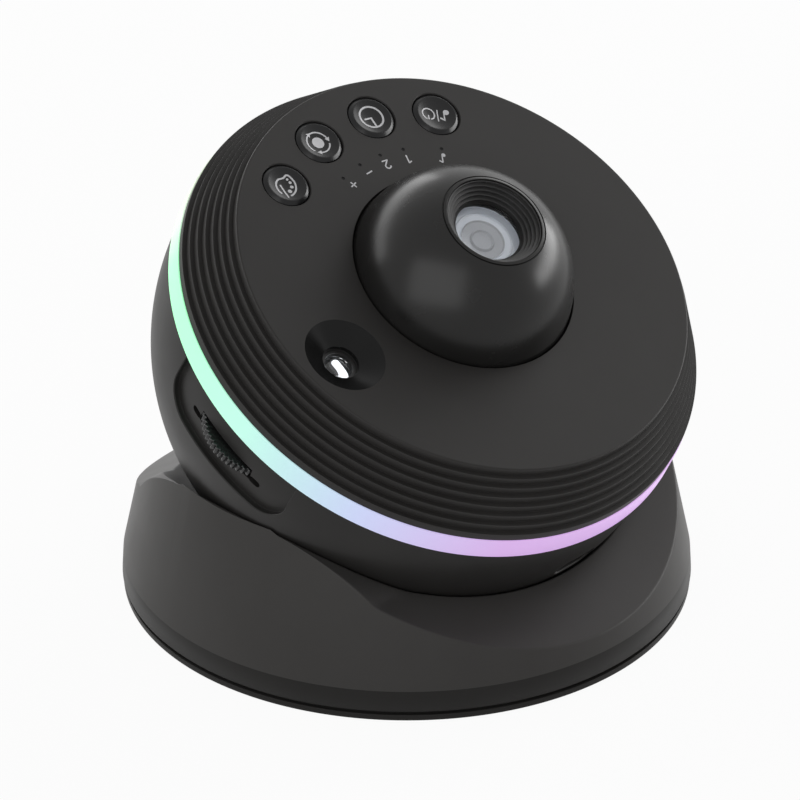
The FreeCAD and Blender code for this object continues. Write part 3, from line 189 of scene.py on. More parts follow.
def stack(name, loops):
    """A closed shape through loops of the same number of points, capped at both ends.

    Seen from where the loops are heading, each loop runs counter-clockwise.
    """
    count = len(loops[0])
    points = [point for loop in loops for point in loop]
    faces = [tuple(range(count))[::-1], tuple(range(len(points) - count, len(points)))]
    for row in range(len(loops) - 1):
        here, there = row * count, (row + 1) * count
        faces += [(here + step, here + (step + 1) % count, there + (step + 1) % count, there + step)
                  for step in range(count)]
    return new_object(name, points, faces)


def block_cutter(x_span, y_span, z_span):
    left, right = x_span
    front, back = y_span
    return stack("block", [[(left, front, z), (right, front, z), (right, back, z), (left, back, z)]
                           for z in z_span])


def carve(obj, cutters, added=()):
    """Join closed shapes to an object, then cut others out of it."""
    for cutter in [*added, *cutters]:
        change = obj.modifiers.new("carve", "BOOLEAN")
        change.operation = "UNION" if cutter in added else "DIFFERENCE"
        change.solver = "EXACT"
        change.object = cutter
    bpy.context.view_layer.update()
    mesh = bpy.data.meshes.new_from_object(obj.evaluated_get(bpy.context.evaluated_depsgraph_get()))
    obj.modifiers.clear()
    obj.data = mesh
    for cutter in [*added, *cutters]:
        bpy.data.objects.remove(cutter)


def weigh_normals(obj):
    """Large flat faces keep their flat look beside small rounded ones."""
    change = obj.modifiers.new("normals", "WEIGHTED_NORMAL")
    change.keep_sharp = True
    change.weight = 100


def finish_piece(obj, body, materials, nodes=(), place=None, sharp=35):
    """Scale a piece drawn in millimetres, set it in place, shade it and tie it to its body."""
    obj.data.transform(Matrix.Scale(0.001, 4))
    if place is not None:
        obj.data.transform(place)
    kinds = [face.material_index for face in obj.data.polygons]
    obj.data.materials.clear()
    for material in materials:
        obj.data.materials.append(material)
    obj.data.polygons.foreach_set("material_index", kinds)
    obj.data.shade_smooth()
    obj.data.set_sharp_from_angle(angle=math.radians(sharp))
    if nodes:
        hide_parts(*nodes)
    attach(obj, body)
    return obj


# ---- materials -----------------------------------------------------------------------------

class Nodes:
    """A material being built: its node tree, its shader and short ways to add to them."""

    def __init__(self, name, roughness, **sockets):
        self.material = bpy.data.materials.new(name)
        self.material.use_nodes = True
        self.tree = self.material.node_tree
        self.shader = self.tree.nodes["Principled BSDF"]
        self.shader.inputs["Roughness"].default_value = roughness
        for socket, value in sockets.items():
            self.shader.inputs[socket.replace("_", " ")].default_value = value
        self.coordinates = self.tree.nodes.new("ShaderNodeTexCoord").outputs["Object"]

    def link(self, source, target):
        self.tree.links.new(source, target)

    def noise(self, scale, detail=3.0, source=None):
        node = self.tree.nodes.new("ShaderNodeTexNoise")
        node.inputs["Scale"].default_value = scale
        node.inputs["Detail"].default_value = detail
        self.link(source or self.coordinates, node.inputs["Vector"])
        return node.outputs["Fac"]

    def ramp(self, factor, stops):
        node = self.tree.nodes.new("ShaderNodeValToRGB")
        elements = node.color_ramp.elements
        while len(elements) < len(stops):
            elements.new(0.5)
        for element, (place, colour) in zip(elements, stops):
            element.position = place
            element.color = (*colour, 1)
        self.link(factor, node.inputs["Fac"])
        return node.outputs["Color"]

    def span(self, factor, low, high):
        """The factor stretched from 0..1 to low..high."""
        node = self.tree.nodes.new("ShaderNodeMapRange")
        node.inputs["To Min"].default_value = low
        node.inputs["To Max"].default_value = high
        self.link(factor, node.inputs["Value"])
        return node.outputs["Result"]

    def bump(self, height, distance, strength=1.0, below=None):
        node = self.tree.nodes.new("ShaderNodeBump")
        node.inputs["Distance"].default_value = distance
        node.inputs["Strength"].default_value = strength
        self.link(height, node.inputs["Height"])
        if below is not None:
            self.link(below, node.inputs["Normal"])
        return node.outputs["Normal"]


# How fine the noise in moulded plastic is, in periods to the metre.
MOTTLE, SHEEN, GRAIN, WAVES = 35, 90, 2600, 60


def moulded(name, dark, light, roughness, grain=0.00002, spread=0.05, **sockets):
    """Moulded plastic: faint uneven colour, spark-eroded grain, slow waves and uneven sheen."""
    made = Nodes(name, roughness, **sockets)
    colour = made.ramp(made.noise(MOTTLE, 4), [(0.3, dark), (0.7, light)])
    made.link(colour, made.shader.inputs["Base Color"])
    made.link(made.span(made.noise(SHEEN, 5), roughness - spread, roughness + spread),
              made.shader.inputs["Roughness"])
    fine = made.bump(made.noise(GRAIN, 2), grain, 0.5)
    made.link(made.bump(made.noise(WAVES, 2), 0.00006, 0.08, fine), made.shader.inputs["Normal"])
    return made.material


def brushed(name, colour, roughness):
    """Metal with fine drawn lines."""
    made = Nodes(name, roughness, Metallic=1.0)
    mapping = made.tree.nodes.new("ShaderNodeMapping")
    mapping.inputs["Scale"].default_value = (40, 40, 4000)
    made.link(made.coordinates, mapping.inputs["Vector"])
    lines = made.noise(1, 4, mapping.outputs["Vector"])
    darker = tuple(0.8 * part for part in colour)
    made.link(made.ramp(lines, [(0.3, darker), (0.7, colour)]), made.shader.inputs["Base Color"])
    made.link(made.span(lines, roughness - 0.08, roughness + 0.1), made.shader.inputs["Roughness"])
    made.link(made.bump(lines, 0.00002, 0.4), made.shader.inputs["Normal"])
    return made.material


# The light ring's colours, by shares of a turn round the head, from the thumb wheel's side by the front.
MINT, SEA, BLUE, PINK = (0.35, 0.9, 0.5), (0.4, 0.75, 0.6), (0.45, 0.5, 0.7), (0.55, 0.35, 0.65)
PEACH, CREAM, PALE = (0.6, 0.5, 0.5), (0.55, 0.65, 0.5), (0.6, 0.75, 0.6)
BAND_STOPS = [
    (0.0, SEA), (0.09, BLUE), (0.18, PINK), (0.45, PINK), (0.62, PEACH), (0.83, CREAM), (0.86, PALE),
    (0.89, MINT), (0.93, MINT), (1.0, SEA),
]


def light_band():
    """The light ring: milky plastic lit from behind, its colour running round the head."""
    made = Nodes("light_band", 0.35)
    mapping = made.tree.nodes.new("ShaderNodeMapping")
    mapping.vector_type = "TEXTURE"
    mapping.inputs["Location"].default_value = HEAD.to_translation()
    mapping.inputs["Rotation"].default_value = (TILT, 0, 0)
    made.link(made.coordinates, mapping.inputs["Vector"])
    around = made.tree.nodes.new("ShaderNodeTexGradient")
    around.gradient_type = "RADIAL"
    made.link(mapping.outputs["Vector"], around.inputs["Vector"])
    colours = made.ramp(around.outputs["Fac"], BAND_STOPS)
    made.link(colours, made.shader.inputs["Emission Color"])
    made.link(colours, made.shader.inputs["Base Color"])
    made.shader.inputs["Emission Strength"].default_value = 0.7
    made.link(made.span(made.noise(400, 3), 0.3, 0.42), made.shader.inputs["Roughness"])
    made.link(made.bump(made.noise(900, 2), 0.00001, 0.3), made.shader.inputs["Normal"])
    return made.material


def clear_glass(name, tint, roughness=0.03):
    made = Nodes(name, roughness, Transmission_Weight=1.0, IOR=1.5)
    made.shader.inputs["Base Color"].default_value = (*tint, 1)
    made.link(made.span(made.noise(300, 2), roughness, roughness + 0.03), made.shader.inputs["Roughness"])
    return made.material


def painted_glint_glow():
    """A white glow that is no lamp: a painted glint, standing in for a reflection in the side lens."""
    made = Nodes("painted_glint_glow", 0.3)
    white = made.ramp(made.noise(150, 3), [(0.3, (0.86, 0.87, 0.9)), (0.6, (1.0, 1.0, 1.0))])
    made.link(white, made.shader.inputs["Base Color"])
    made.link(white, made.shader.inputs["Emission Color"])
    made.shader.inputs["Emission Strength"].default_value = 1.3
    return made.material


def outer_plastics():
    """The plastics of the housing, from the most matt to the glossiest."""
    return {
        "body": moulded("body_plastic", (0.026, 0.0245, 0.0235), (0.031, 0.0295, 0.0283), 0.46,
                        Specular_IOR_Level=0.18),
        # A darker copy of the housing's plastic: painted shade on the bowl under the ring.
        "bowl": moulded("bowl_plastic_painted_shade", (0.018, 0.017, 0.0163), (0.022, 0.021, 0.02), 0.44,
                        Specular_IOR_Level=0.18),
        # A lighter copy of the housing's charcoal plastic: painted light on the base.
        "base": moulded("base_plastic_painted_light", (0.044, 0.042, 0.04), (0.05, 0.048, 0.046), 0.42,
                        Specular_IOR_Level=0.18),
        # Darker than the base's plastic: painted shade along the bottom of the base.
        "skirt": moulded("skirt_painted_shade", (0.023, 0.022, 0.021), (0.027, 0.026, 0.025), 0.42,
                         Specular_IOR_Level=0.1),
        "dome": moulded("dome_plastic", (0.012, 0.0115, 0.011), (0.015, 0.0145, 0.014), 0.26,
                        grain=0.000008, Specular_IOR_Level=0.26),
        # Far darker than the face's plastic: painted shade in the funnel round the side lens.
        "funnel": moulded("funnel_painted_shade", (0.006, 0.006, 0.006), (0.009, 0.009, 0.009), 0.24,
                          Specular_IOR_Level=0.14),
        "button": moulded("button_plastic", (0.006, 0.006, 0.0065), (0.009, 0.009, 0.0095), 0.24,
                          grain=0.000004, spread=0.03, Specular_IOR_Level=0.26),
    }


def make_materials():
    return {
        **outer_plastics(),
        "baffle": moulded("baffle_plastic", (0.014, 0.014, 0.014), (0.02, 0.019, 0.019), 0.4),
        "wheel": moulded("wheel_plastic", (0.008, 0.008, 0.008), (0.012, 0.012, 0.012), 0.26),
        "inner": moulded("inner_plastic", (0.012, 0.012, 0.012), (0.018, 0.018, 0.018), 0.5),
        "gear": moulded("gear_plastic", (0.7, 0.69, 0.64), (0.78, 0.77, 0.72), 0.4),
        "rubber": moulded("foot_rubber", (0.018, 0.018, 0.018), (0.026, 0.026, 0.026), 0.75, grain=0.00004),
        "pipe": moulded("pipe_plastic", (0.004, 0.004, 0.004), (0.008, 0.008, 0.008), 0.5,
                        Specular_IOR_Level=0.1),
        "board": moulded("board_laminate", (0.003, 0.011, 0.005), (0.005, 0.017, 0.008), 0.35),
        "parts": moulded("electronics", (0.02, 0.02, 0.02), (0.035, 0.035, 0.035), 0.4),
        "lamp": moulded("lamp_resin", (0.8, 0.76, 0.5), (0.86, 0.84, 0.66), 0.25),
        "paper": moulded("speaker_paper", (0.03, 0.03, 0.03), (0.05, 0.05, 0.05), 0.8, grain=0.00008),
        "print": moulded("print_white", (0.72, 0.72, 0.74), (0.8, 0.8, 0.82), 0.5, grain=0.000003),
        "film": moulded("film_print", (0.01, 0.01, 0.02), (0.03, 0.03, 0.06), 0.2),
        "reflector": moulded("lens_reflector", (0.42, 0.42, 0.44), (0.5, 0.5, 0.52), 0.25),
        # Lighter outer rings of the lens plate: painted highlight at the lens's edge.
        "reflector_painted_highlight": moulded("lens_reflector_painted_highlight", (0.8, 0.82, 0.87), (0.86, 0.88, 0.93), 0.25),
        # A glowing white bar under the side lens: painted glint of a reflection.
        "painted_glint": painted_glint_glow(),
        "steel": brushed("steel", (0.5, 0.5, 0.51), 0.35),
        "screw": brushed("screw_steel", (0.3, 0.3, 0.31), 0.4),
        "plated": brushed("plated_metal", (0.72, 0.72, 0.74), 0.2),
        "sink": brushed("heat_sink_metal", (0.68, 0.68, 0.7), 0.4),
        "band": light_band(),
        "glass": clear_glass("lens_glass", (0.93, 0.95, 0.97)),
    }


# The CAD objects that stay as they are, by material.
PLAIN_NODES = {
    "inner": ["chassis_plate", "condenser_holder", "side_cup", "motor_clamp", "wheel_bracket"],
    "rubber": ["foot_ring", "friction_washers"],
    "screw": ["base_screws", "post_screws", "bowl_screws", "shell_screws", "board_screws"],
    "steel": ["ballast_ring", "tilt_post", "tilt_bracket", "tilt_pin", "pin_nut", "film_motor",
              "speaker_basket"],
    "plated": ["usb_socket"],
    "sink": ["heat_sink"],
    "board": ["main_board", "button_board", "ring_board", "lamp_board"],
    "parts": ["board_parts", "push_switches", "side_led"],
    "lamp": ["lamp_led", "ring_leds"],
    "paper": ["speaker_cone"],
    "gear": ["film_carrier", "motor_pinion", "focus_shaft"],
    "film": ["film_disc", "side_film"],
    "baffle": ["lens_barrel", "side_lens_cell", "focus_sleeve"],
    "glass": ["rear_lens", "condenser_lens", "side_lens"],
    "pipe": ["indicator_pipes"],
}


def paint_plain_nodes(materials):
    for key, nodes in PLAIN_NODES.items():
        for node in nodes:
            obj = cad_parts[node]
            obj.data.materials.clear()
            obj.data.materials.append(materials[key])


# ---- base ----------------------------------------------------------------------------------

# Radii about Z, and heights above the table.
SKIRT_RADIUS, CONE_FOOT, EAR_RADIUS = 78.2, 77.9, 69.9
PLATE_TOP, SKIRT_TOP, EAR_HEIGHT, CUT_HEIGHT = 2.9, 9.7, 49.5, 59.3
CONE_RUN = (CONE_FOOT - EAR_RADIUS) / (EAR_HEIGHT - SKIRT_TOP)
SHOULDER_RADIUS, SHOULDER_SHIFT = 50.5, 8.3
SEAT_RADIUS, DISH_OPENING, BASE_WALL = 74.0, 38.0, 2.2
FOOT_LIFT, FOOT_CHAMFER = 0.3, 0.5
DISH_ROWS, UNDER_ROWS = 26, 9


def slope_height(radius, across):
    """Height of the base's top: level at the ears, then over a round shoulder to the slope."""
    out = across * radius
    beyond = min(max(out - SHOULDER_SHIFT, 0), SHOULDER_RADIUS)
    shoulder = EAR_HEIGHT - SHOULDER_RADIUS + math.sqrt(SHOULDER_RADIUS ** 2 - beyond ** 2)
    return min(EAR_HEIGHT, max(CUT_HEIGHT - math.tan(TILT) * out, shoulder))


def dish_reach(drop_angle, along, across, radius):
    """How far from the dish's centre its surface lies, in one upright half plane."""
    flat = math.cos(drop_angle)
    shift = BALL_SHIFT * across * flat
    straight_reach = radius / math.sqrt((flat * along) ** 2 + math.sin(drop_angle) ** 2)
    if straight_reach * flat * across <= BALL_SHIFT:
        return straight_reach
    return shift + math.sqrt(shift ** 2 + radius ** 2 - BALL_SHIFT ** 2)


def dish_point(drop_angle, along, across, radius):
    reach = dish_reach(drop_angle, along, across, radius)
    return reach * math.cos(drop_angle), BALL_HEIGHT - reach * math.sin(drop_angle)


def search(test, low, high):
    """The place between low and high where the test turns true."""
    for _ in range(40):
        middle = (low + high) / 2
        if test(middle):
            high = middle
        else:
            low = middle
    return high


def cradle_section(angle):
    """The base's closed outline in the upright half plane at an angle about Z."""
    along, across = abs(math.cos(angle)), abs(math.sin(angle))
    under_radius = SEAT_RADIUS + BASE_WALL

    def wall_radius(height):
        return CONE_FOOT - CONE_RUN * (height - SKIRT_TOP)

    def above_slope(height):
        return height > slope_height(wall_radius(height), across)

    def below_slope(drop_angle):
        reach, height = dish_point(drop_angle, along, across, SEAT_RADIUS)
        return height < slope_height(reach, across)

    def mouth_drop(radius):
        """The angle at which a ball of this radius reaches the dish's opening."""
        return search(lambda drop: dish_point(drop, along, across, radius)[0] < DISH_OPENING, 0.3, 1.5)

    edge_height = search(above_slope, SKIRT_TOP, EAR_HEIGHT)
    edge = (wall_radius(edge_height), edge_height)
    lip_angle = search(below_slope, 0.05, 1.5)
    lip = dish_point(lip_angle, along, across, SEAT_RADIUS)
    thickness = math.hypot(edge[0] - lip[0], edge[1] - lip[1])
    foot = (SKIRT_RADIUS, PLATE_TOP + FOOT_LIFT + FOOT_CHAMFER)
    outside = [foot, (CONE_FOOT, SKIRT_TOP, 0.8), (*edge, min(1.2, 0.3 * thickness))]
    for share in (0.28, 0.39, 0.5, 0.61, 0.72):
        reach = edge[0] + (lip[0] - edge[0]) * share
        outside.append((reach, slope_height(reach, across)))
    outside += [(*lip, min(0.8, 0.3 * thickness)), dish_point(lip_angle + 0.15, along, across, SEAT_RADIUS)]
    points = [(SKIRT_RADIUS - FOOT_CHAMFER, PLATE_TOP + FOOT_LIFT), foot]
    points += rounded(outside, closed=False)[1:-1]
    start, end = lip_angle + 0.03, mouth_drop(SEAT_RADIUS)
    for row in range(1, DISH_ROWS + 1):
        points.append(dish_point(start + (end - start) * row / DISH_ROWS, along, across, SEAT_RADIUS))
    start, end = lip_angle + 0.12, mouth_drop(under_radius)
    points.append((DISH_OPENING, dish_point(end, along, across, under_radius)[1]))
    wall = CONE_FOOT - BASE_WALL
    for row in range(UNDER_ROWS, -1, -1):
        reach, height = dish_point(start + (end - start) * row / UNDER_ROWS, along, across, under_radius)
        reach = min(reach, wall - CONE_RUN * max(height - SKIRT_TOP, 0))
        points.append((reach, min(height, slope_height(reach, across) - BASE_WALL)))
    return points + [(wall, SKIRT_TOP), (wall, PLATE_TOP + FOOT_LIFT)]


def add_cradle(materials):
    """The base's shell: its outline carried round Z, with painted shade on the skirt, a darker material
    below its top.
    """
    steps = 720
    sections = [cradle_section(2 * math.pi * step / steps) for step in range(steps)]
    width = len(sections[0])
    points, faces = [], []
    for step, section in enumerate(sections):
        x, y = math.cos(2 * math.pi * step / steps), math.sin(2 * math.pi * step / steps)
        points += [(radius * x, radius * y, height) for radius, height in section]
    for step in range(steps):
        here, there = step * width, (step + 1) % steps * width
        for row in range(width):
            after = (row + 1) % width
            faces.append((here + row, there + row, there + after, here + after))
    cradle = new_object("cradle", points, faces)
    # Outer faces below the skirt's top take the darker material: painted shade at the bottom.
    for face in cradle.data.polygons:
        outer = face.center.xy.length > SEAT_RADIUS
        face.material_index = 1 if outer and face.center.z < SKIRT_TOP - 0.15 else 0
    finish_piece(cradle, "base", [materials["base"], materials["skirt"]], ["base_shell"],
                 sharp=50)


def add_base_plate(materials):
    """The plate under the base, set in by a fine groove, with its edge rounded underneath."""
    under, groove, edge, rim = 0.4, 1.4, 2.3, 76.7
    foot_inside, foot_outside = 60.0, 69.0
    plate = lathe("bottom_plate", [
        (0, under), (foot_inside, under), (foot_inside, groove), (foot_outside, groove),
        (foot_outside, under), (CONE_FOOT, under, 0.7), (CONE_FOOT, edge, 0.2), (rim, edge),
        (rim, PLATE_TOP), (0, PLATE_TOP)], 360, closed=False)
    holes = [drill(SCREW_HOLE, -1, 4, polar(64.5, angle)) for angle in SCREW_ANGLES]
    sunk = [(0, -1), (SCREW_HEAD, -1), (SCREW_HEAD, 2.2), (SCREW_HOLE, 2.2), (SCREW_HOLE, 4), (0, 4)]
    holes += [lathe("hole", sunk, 32, False, (x, y)) for x in (-15.2, 15.2) for y in (-10.8, 10.8)]
    carve(plate, holes)
    # The plate takes the skirt's darker material, with its painted shade.
    finish_piece(plate, "base", [materials["skirt"]], ["base_plate"])


# ---- bowl ----------------------------------------------------------------------------------

# The soft lip of a pocket in the bowl: how far out its outline stands, at which radius.
LIP = [(margin, BOWL_RADIUS - depth)
       for margin, depth in ((0.45, -0.08), (0.2, 0.1), (0.06, 0.28), (0.0, 0.5))]

# The wheel's recess: half its width, its top, bottom and corners, the radius of its floor, and the
# height that the floor's points close in on.
RECESS_HALF, RECESS_TOP, RECESS_LOW, RECESS_CORNER = 24.0, 12.0, -14.2, 9.0
RECESS_RADIUS, RECESS_MIDDLE = 71.6, -4

# The slots at the wheel's ends.
VENT_HALF_LENGTH, VENT_HALF_HEIGHT, VENT_SIDE = 1.9, 1.05, 12.7

# The charging socket's middle in X and Z, its pocket and its opening.
PORT = (3.8, -13.35)
POCKET_HALF_LENGTH, POCKET_HALF_HEIGHT, POCKET_FLOOR = 7, 3.5, -69.0
PORT_HALF_LENGTH, PORT_HALF_HEIGHT = 4.9, 1.95

# In the flat underside: the post's slot, and the speaker's rings of holes.
SLOT_HALF_WIDTH, SLOT_HALF_LENGTH = 8.9, 32
SPEAKER_X, SPEAKER_HOLE, SPEAKER_RINGS = 33, 1.1, ((5, 6), (10, 12))


def recess_outline(margin):
    """The wheel recess seen along X: level at its top, with rounded lower corners."""
    half, low, corner = RECESS_HALF + margin, RECESS_LOW - margin, RECESS_CORNER + margin
    turns = [polar(1, angle) for angle in range(0, 91, 6)]
    heights = [low + corner + (RECESS_TOP - low - corner) * step / 12 for step in range(1, 12)]
    outline = [(half - 2 * half * step / 32, RECESS_TOP) for step in range(33)]
    outline += [(-half, height) for height in heights[::-1]]
    outline += [(-half + corner * (1 - along), low + corner * (1 - across)) for along, across in turns]
    outline += [((half - corner) * (step / 10 - 1), low) for step in range(1, 20)]
    outline += [(half - corner * (1 - along), low + corner * (1 - across)) for along, across in turns[::-1]]
    outline += [(half, height) for height in heights]
    return outline


def recess_cutter():
    """The wheel's recess, with a soft lip and a floor concentric with the bowl."""
    def on_ball(outline, radius):
        return [(-math.sqrt(radius ** 2 - y ** 2 - z ** 2), y, z) for y, z in outline]

    loops = [[(-90.0, y, z) for y, z in recess_outline(LIP[0][0])]]
    foot = [(0.0, RECESS_RADIUS + 0.5), (-0.15, RECESS_RADIUS + 0.15)]
    loops += [on_ball(recess_outline(margin), radius) for margin, radius in LIP + foot]
    rim = recess_outline(-0.5)
    for step in range(24):
        share = 1 - step / 24
        floor = [(y * share, RECESS_MIDDLE + (z - RECESS_MIDDLE) * share) for y, z in rim]
        loops.append(on_ball(floor, RECESS_RADIUS))
    return stack("recess", loops)


def port_cutter():
    """The pocket around the charging socket, with a soft lip and a flat floor."""
    def outline(margin):
        return round_bar(POCKET_HALF_LENGTH + margin, POCKET_HALF_HEIGHT + margin, PORT)[::-1]

    def on_ball(margin, radius):
        return [(x, -math.sqrt(radius ** 2 - x ** 2 - z ** 2), z) for x, z in outline(margin)]

    def flat(margin, y):
        return [(x, y, z) for x, z in outline(margin)]

    loops = [flat(LIP[0][0], -85.0)] + [on_ball(margin, radius) for margin, radius in LIP]
    return stack("port_pocket", loops + [flat(0.0, POCKET_FLOOR - 0.4), flat(-0.35, POCKET_FLOOR)])


def wheel_cutters():
    """The slot that the wheel turns in, and the round end on either side of it."""
    cutters = [drill(WHEEL_RADIUS + 0.4, WHEEL_LOW - 0.4, WHEEL_TOP + 1.1, (WHEEL_X, 0), 180)]
    for side in (-VENT_SIDE, VENT_SIDE):
        outline = round_bar(VENT_HALF_LENGTH, VENT_HALF_HEIGHT, (side, WHEEL_LOW + 0.3))
        cutters.append(stack("vent", [[(x, y, z) for y, z in outline] for x in (-80, -60)]))
    return cutters


def underside_cutters():
    """The speaker's holes and the bores for the bowl's screws."""
    cutters = []
    for ring, count in SPEAKER_RINGS:
        for step in range(count):
            x, y = polar(ring, 360 * step / count)
            cutters.append(drill(SPEAKER_HOLE, -52, -45, (SPEAKER_X + x, y), 20))
    return cutters + [drill(SCREW_HEAD, -52, -48.2, polar(42, angle)) for angle in SCREW_ANGLES]


def add_bowl(materials):
    """The lower half of the ball, with its flat underside."""
    inner = BOWL_RADIUS - BOWL_WALL - 1.6
    edge = math.sqrt(BOWL_RADIUS ** 2 - (BOWL_DEPTH - 1.2) ** 2)
    corners = [(0, -BOWL_DEPTH), (edge - 1.9, -BOWL_DEPTH), (edge - 0.8, -BOWL_DEPTH + 0.35)]
    corners += arc(BOWL_RADIUS, 0, -BOWL_DEPTH + 1.2, BOWL_TOP, 110)
    corners += arc(inner, 0, -BOWL_DEPTH + 2.4, BOWL_TOP, 30)[::-1] + [(0, -BOWL_DEPTH + 2.4)]
    bowl = lathe("bowl", corners, 480, closed=False)
    slot = block_cutter((-SLOT_HALF_WIDTH, SLOT_HALF_WIDTH), (-SLOT_HALF_LENGTH, SLOT_HALF_LENGTH),
                        (-BOWL_DEPTH - 2, -BOWL_DEPTH + 4))
    opening = block_cutter((PORT[0] - PORT_HALF_LENGTH, PORT[0] + PORT_HALF_LENGTH), (-71, -60),
                           (PORT[1] - PORT_HALF_HEIGHT, PORT[1] + PORT_HALF_HEIGHT))
    carve(bowl, [recess_cutter(), port_cutter(), *wheel_cutters(), slot, opening, *underside_cutters()])
    finish_piece(bowl, "head", [materials["bowl"]], ["lower_bowl"], HEAD, sharp=32)


# ---- light ring, upper shell and dome ------------------------------------------------------

RING_INSIDE, RING_RADIUS = 70.5, 75.0
TERRACES, TERRACE_FOOT = 8, 74.4
DOME_HOLE, DOME_RADIUS, DOME_CENTRE, DOME_FOOT, DOME_TOP, DOME_WALL = 31.85, 31.6, 28.0, 29.0, 56.2, 2.2
FUNNEL_NECK, FUNNEL_DEPTH, FUNNEL_MOUTH, FUNNEL_LOW = 5.2, 3.4, 13.35, 23.5
PIN_CIRCLE, PIN_RADIUS, PIN_ANGLES = 41.3, 0.52, (58.3, 74.5, 85.2, 95.9, 106.6)


def add_light_ring(materials):
    ring = lathe("light_ring_band", [
        (RING_INSIDE, BOWL_TOP), (RING_RADIUS, BOWL_TOP, 0.35), (RING_RADIUS - 0.25, RING_TOP, 0.25),
        (RING_INSIDE, RING_TOP)], 360)
    finish_piece(ring, "head", [materials["band"]], ["light_ring"], HEAD)


def shell_outline():
    """The upper shell: its inside, then up the steps of its rim and across the face."""
    corners = [(DOME_HOLE, FACE_UNDER), (62.1, FACE_UNDER), (70.9, 14.5), (70.9, RING_TOP)]
    rise, narrow = (FACE - RING_TOP) / TERRACES, (TERRACE_FOOT - FACE_RADIUS) / (TERRACES - 1)
    for step in range(TERRACES):
        radius = TERRACE_FOOT - step * narrow
        corners.append((radius, RING_TOP + step * rise, 0.04))
        corners.append((radius, RING_TOP + (step + 1) * rise, 0.5 if step == TERRACES - 1 else 0.06))
    return corners + [(DOME_HOLE, FACE, 0.15)]


def shell_cutters():
    """The funnel, a well with a broken edge for each button, and the pinholes."""
    funnel = [(0, FACE - 12), (FUNNEL_NECK, FACE - 12), (FUNNEL_NECK, FACE - FUNNEL_DEPTH),
              (FUNNEL_MOUTH, FACE + 1), (0, FACE + 1)]
    well = BUTTON_RADIUS + BUTTON_GAP
    well_corners = [(0, FACE - 6), (well, FACE - 6), (well, FACE - 0.25), (well + 0.5, FACE + 0.25),
                    (0, FACE + 0.25)]
    cutters = [lathe("funnel", funnel, 160, False, SIDE)]
    for number in range(4):
        centre = polar(BUTTON_CIRCLE, BUTTON_ANGLE + number * BUTTON_STEP)
        cutters.append(lathe("well", well_corners, 96, False, centre))
    return cutters + [drill(PIN_RADIUS, FACE - 6, FACE + 1, polar(PIN_CIRCLE, angle), 24)
                      for angle in PIN_ANGLES]


def add_upper_shell(materials):
    """The stepped rim and the face, with wells for the buttons and a funnel for the side lens, its cone in
    painted shade.
    """
    shell = lathe("top_shell", shell_outline(), 360)
    boss = lathe("funnel_boss", [
        (0, FUNNEL_LOW), (8.0, FUNNEL_LOW), (8.0, FACE - 5.6), (13.5, FACE_UNDER), (13.5, FACE_UNDER + 1),
        (0, FACE_UNDER + 1)], 160, False, SIDE)
    carve(shell, shell_cutters(), [boss])
    # Faces of the funnel's cone take the darker material: painted shade in the recess.
    funnel_edge = 11.45
    for face in shell.data.polygons:
        x, y, z = face.center
        near = math.hypot(x - SIDE[0], y - SIDE[1]) < funnel_edge
        face.material_index = 1 if near and FUNNEL_LOW - 1.5 < z < FACE - 0.01 else 0
    finish_piece(shell, "head", [materials["body"], materials["funnel"]], ["upper_shell"],
                 HEAD, sharp=24)
    weigh_normals(shell)


def add_dome(materials):
    outside = arc(DOME_RADIUS, DOME_CENTRE, DOME_FOOT, DOME_TOP - 0.36, 60)
    inside = arc(DOME_RADIUS - DOME_WALL, DOME_CENTRE, DOME_FOOT, 52.5, 30)[::-1]
    mouth = [(14.78, DOME_TOP - 0.62), (14.62, DOME_TOP - 0.62), (14.5, DOME_TOP - 0.22, 0.1),
             (13.65, DOME_TOP, 0.15), (13.65, 44.0), (15.5, 44.0)]
    dome = lathe("dome_cover", outside + mouth + inside, 256)
    finish_piece(dome, "head", [materials["dome"]], ["dome"], HEAD)


def add_baffle(materials):
    """Stepped rings that lead down to the main lens."""
    steps, wide, close = 5, 13.2, 9.2
    low, high, outside = LENS_FRONT + 0.6, 55.8, 13.5
    fall, narrow = (high - low) / steps, (wide - close) / steps
    corners = [(outside, low), (outside, high, 0.1)]
    for step in range(steps):
        corners.append((wide - step * narrow, high - step * fall, 0.12))
        corners.append((wide - step * narrow, high - (step + 1) * fall, 0.05))
    corners.append((close, low))
    baffle = lathe("stepped_baffle", corners, 192)
    finish_piece(baffle, "head", [materials["baffle"]], ["lens_baffle"], HEAD)


# ---- buttons and printed marks -------------------------------------------------------------

BUTTON_TOP, HOLLOW_RADIUS, HOLLOW_DEPTH = FACE + 0.45, 5.5, 0.6
MARK_CIRCLE = 38.0


def hollow_height(x, y):
    """Height of a button's hollowed top at a point from its centre."""
    ball = (HOLLOW_RADIUS ** 2 + HOLLOW_DEPTH ** 2) / (2 * HOLLOW_DEPTH)
    distance = min(math.hypot(x, y), HOLLOW_RADIUS)
    return BUTTON_TOP - HOLLOW_DEPTH + ball - math.sqrt(ball ** 2 - distance ** 2)


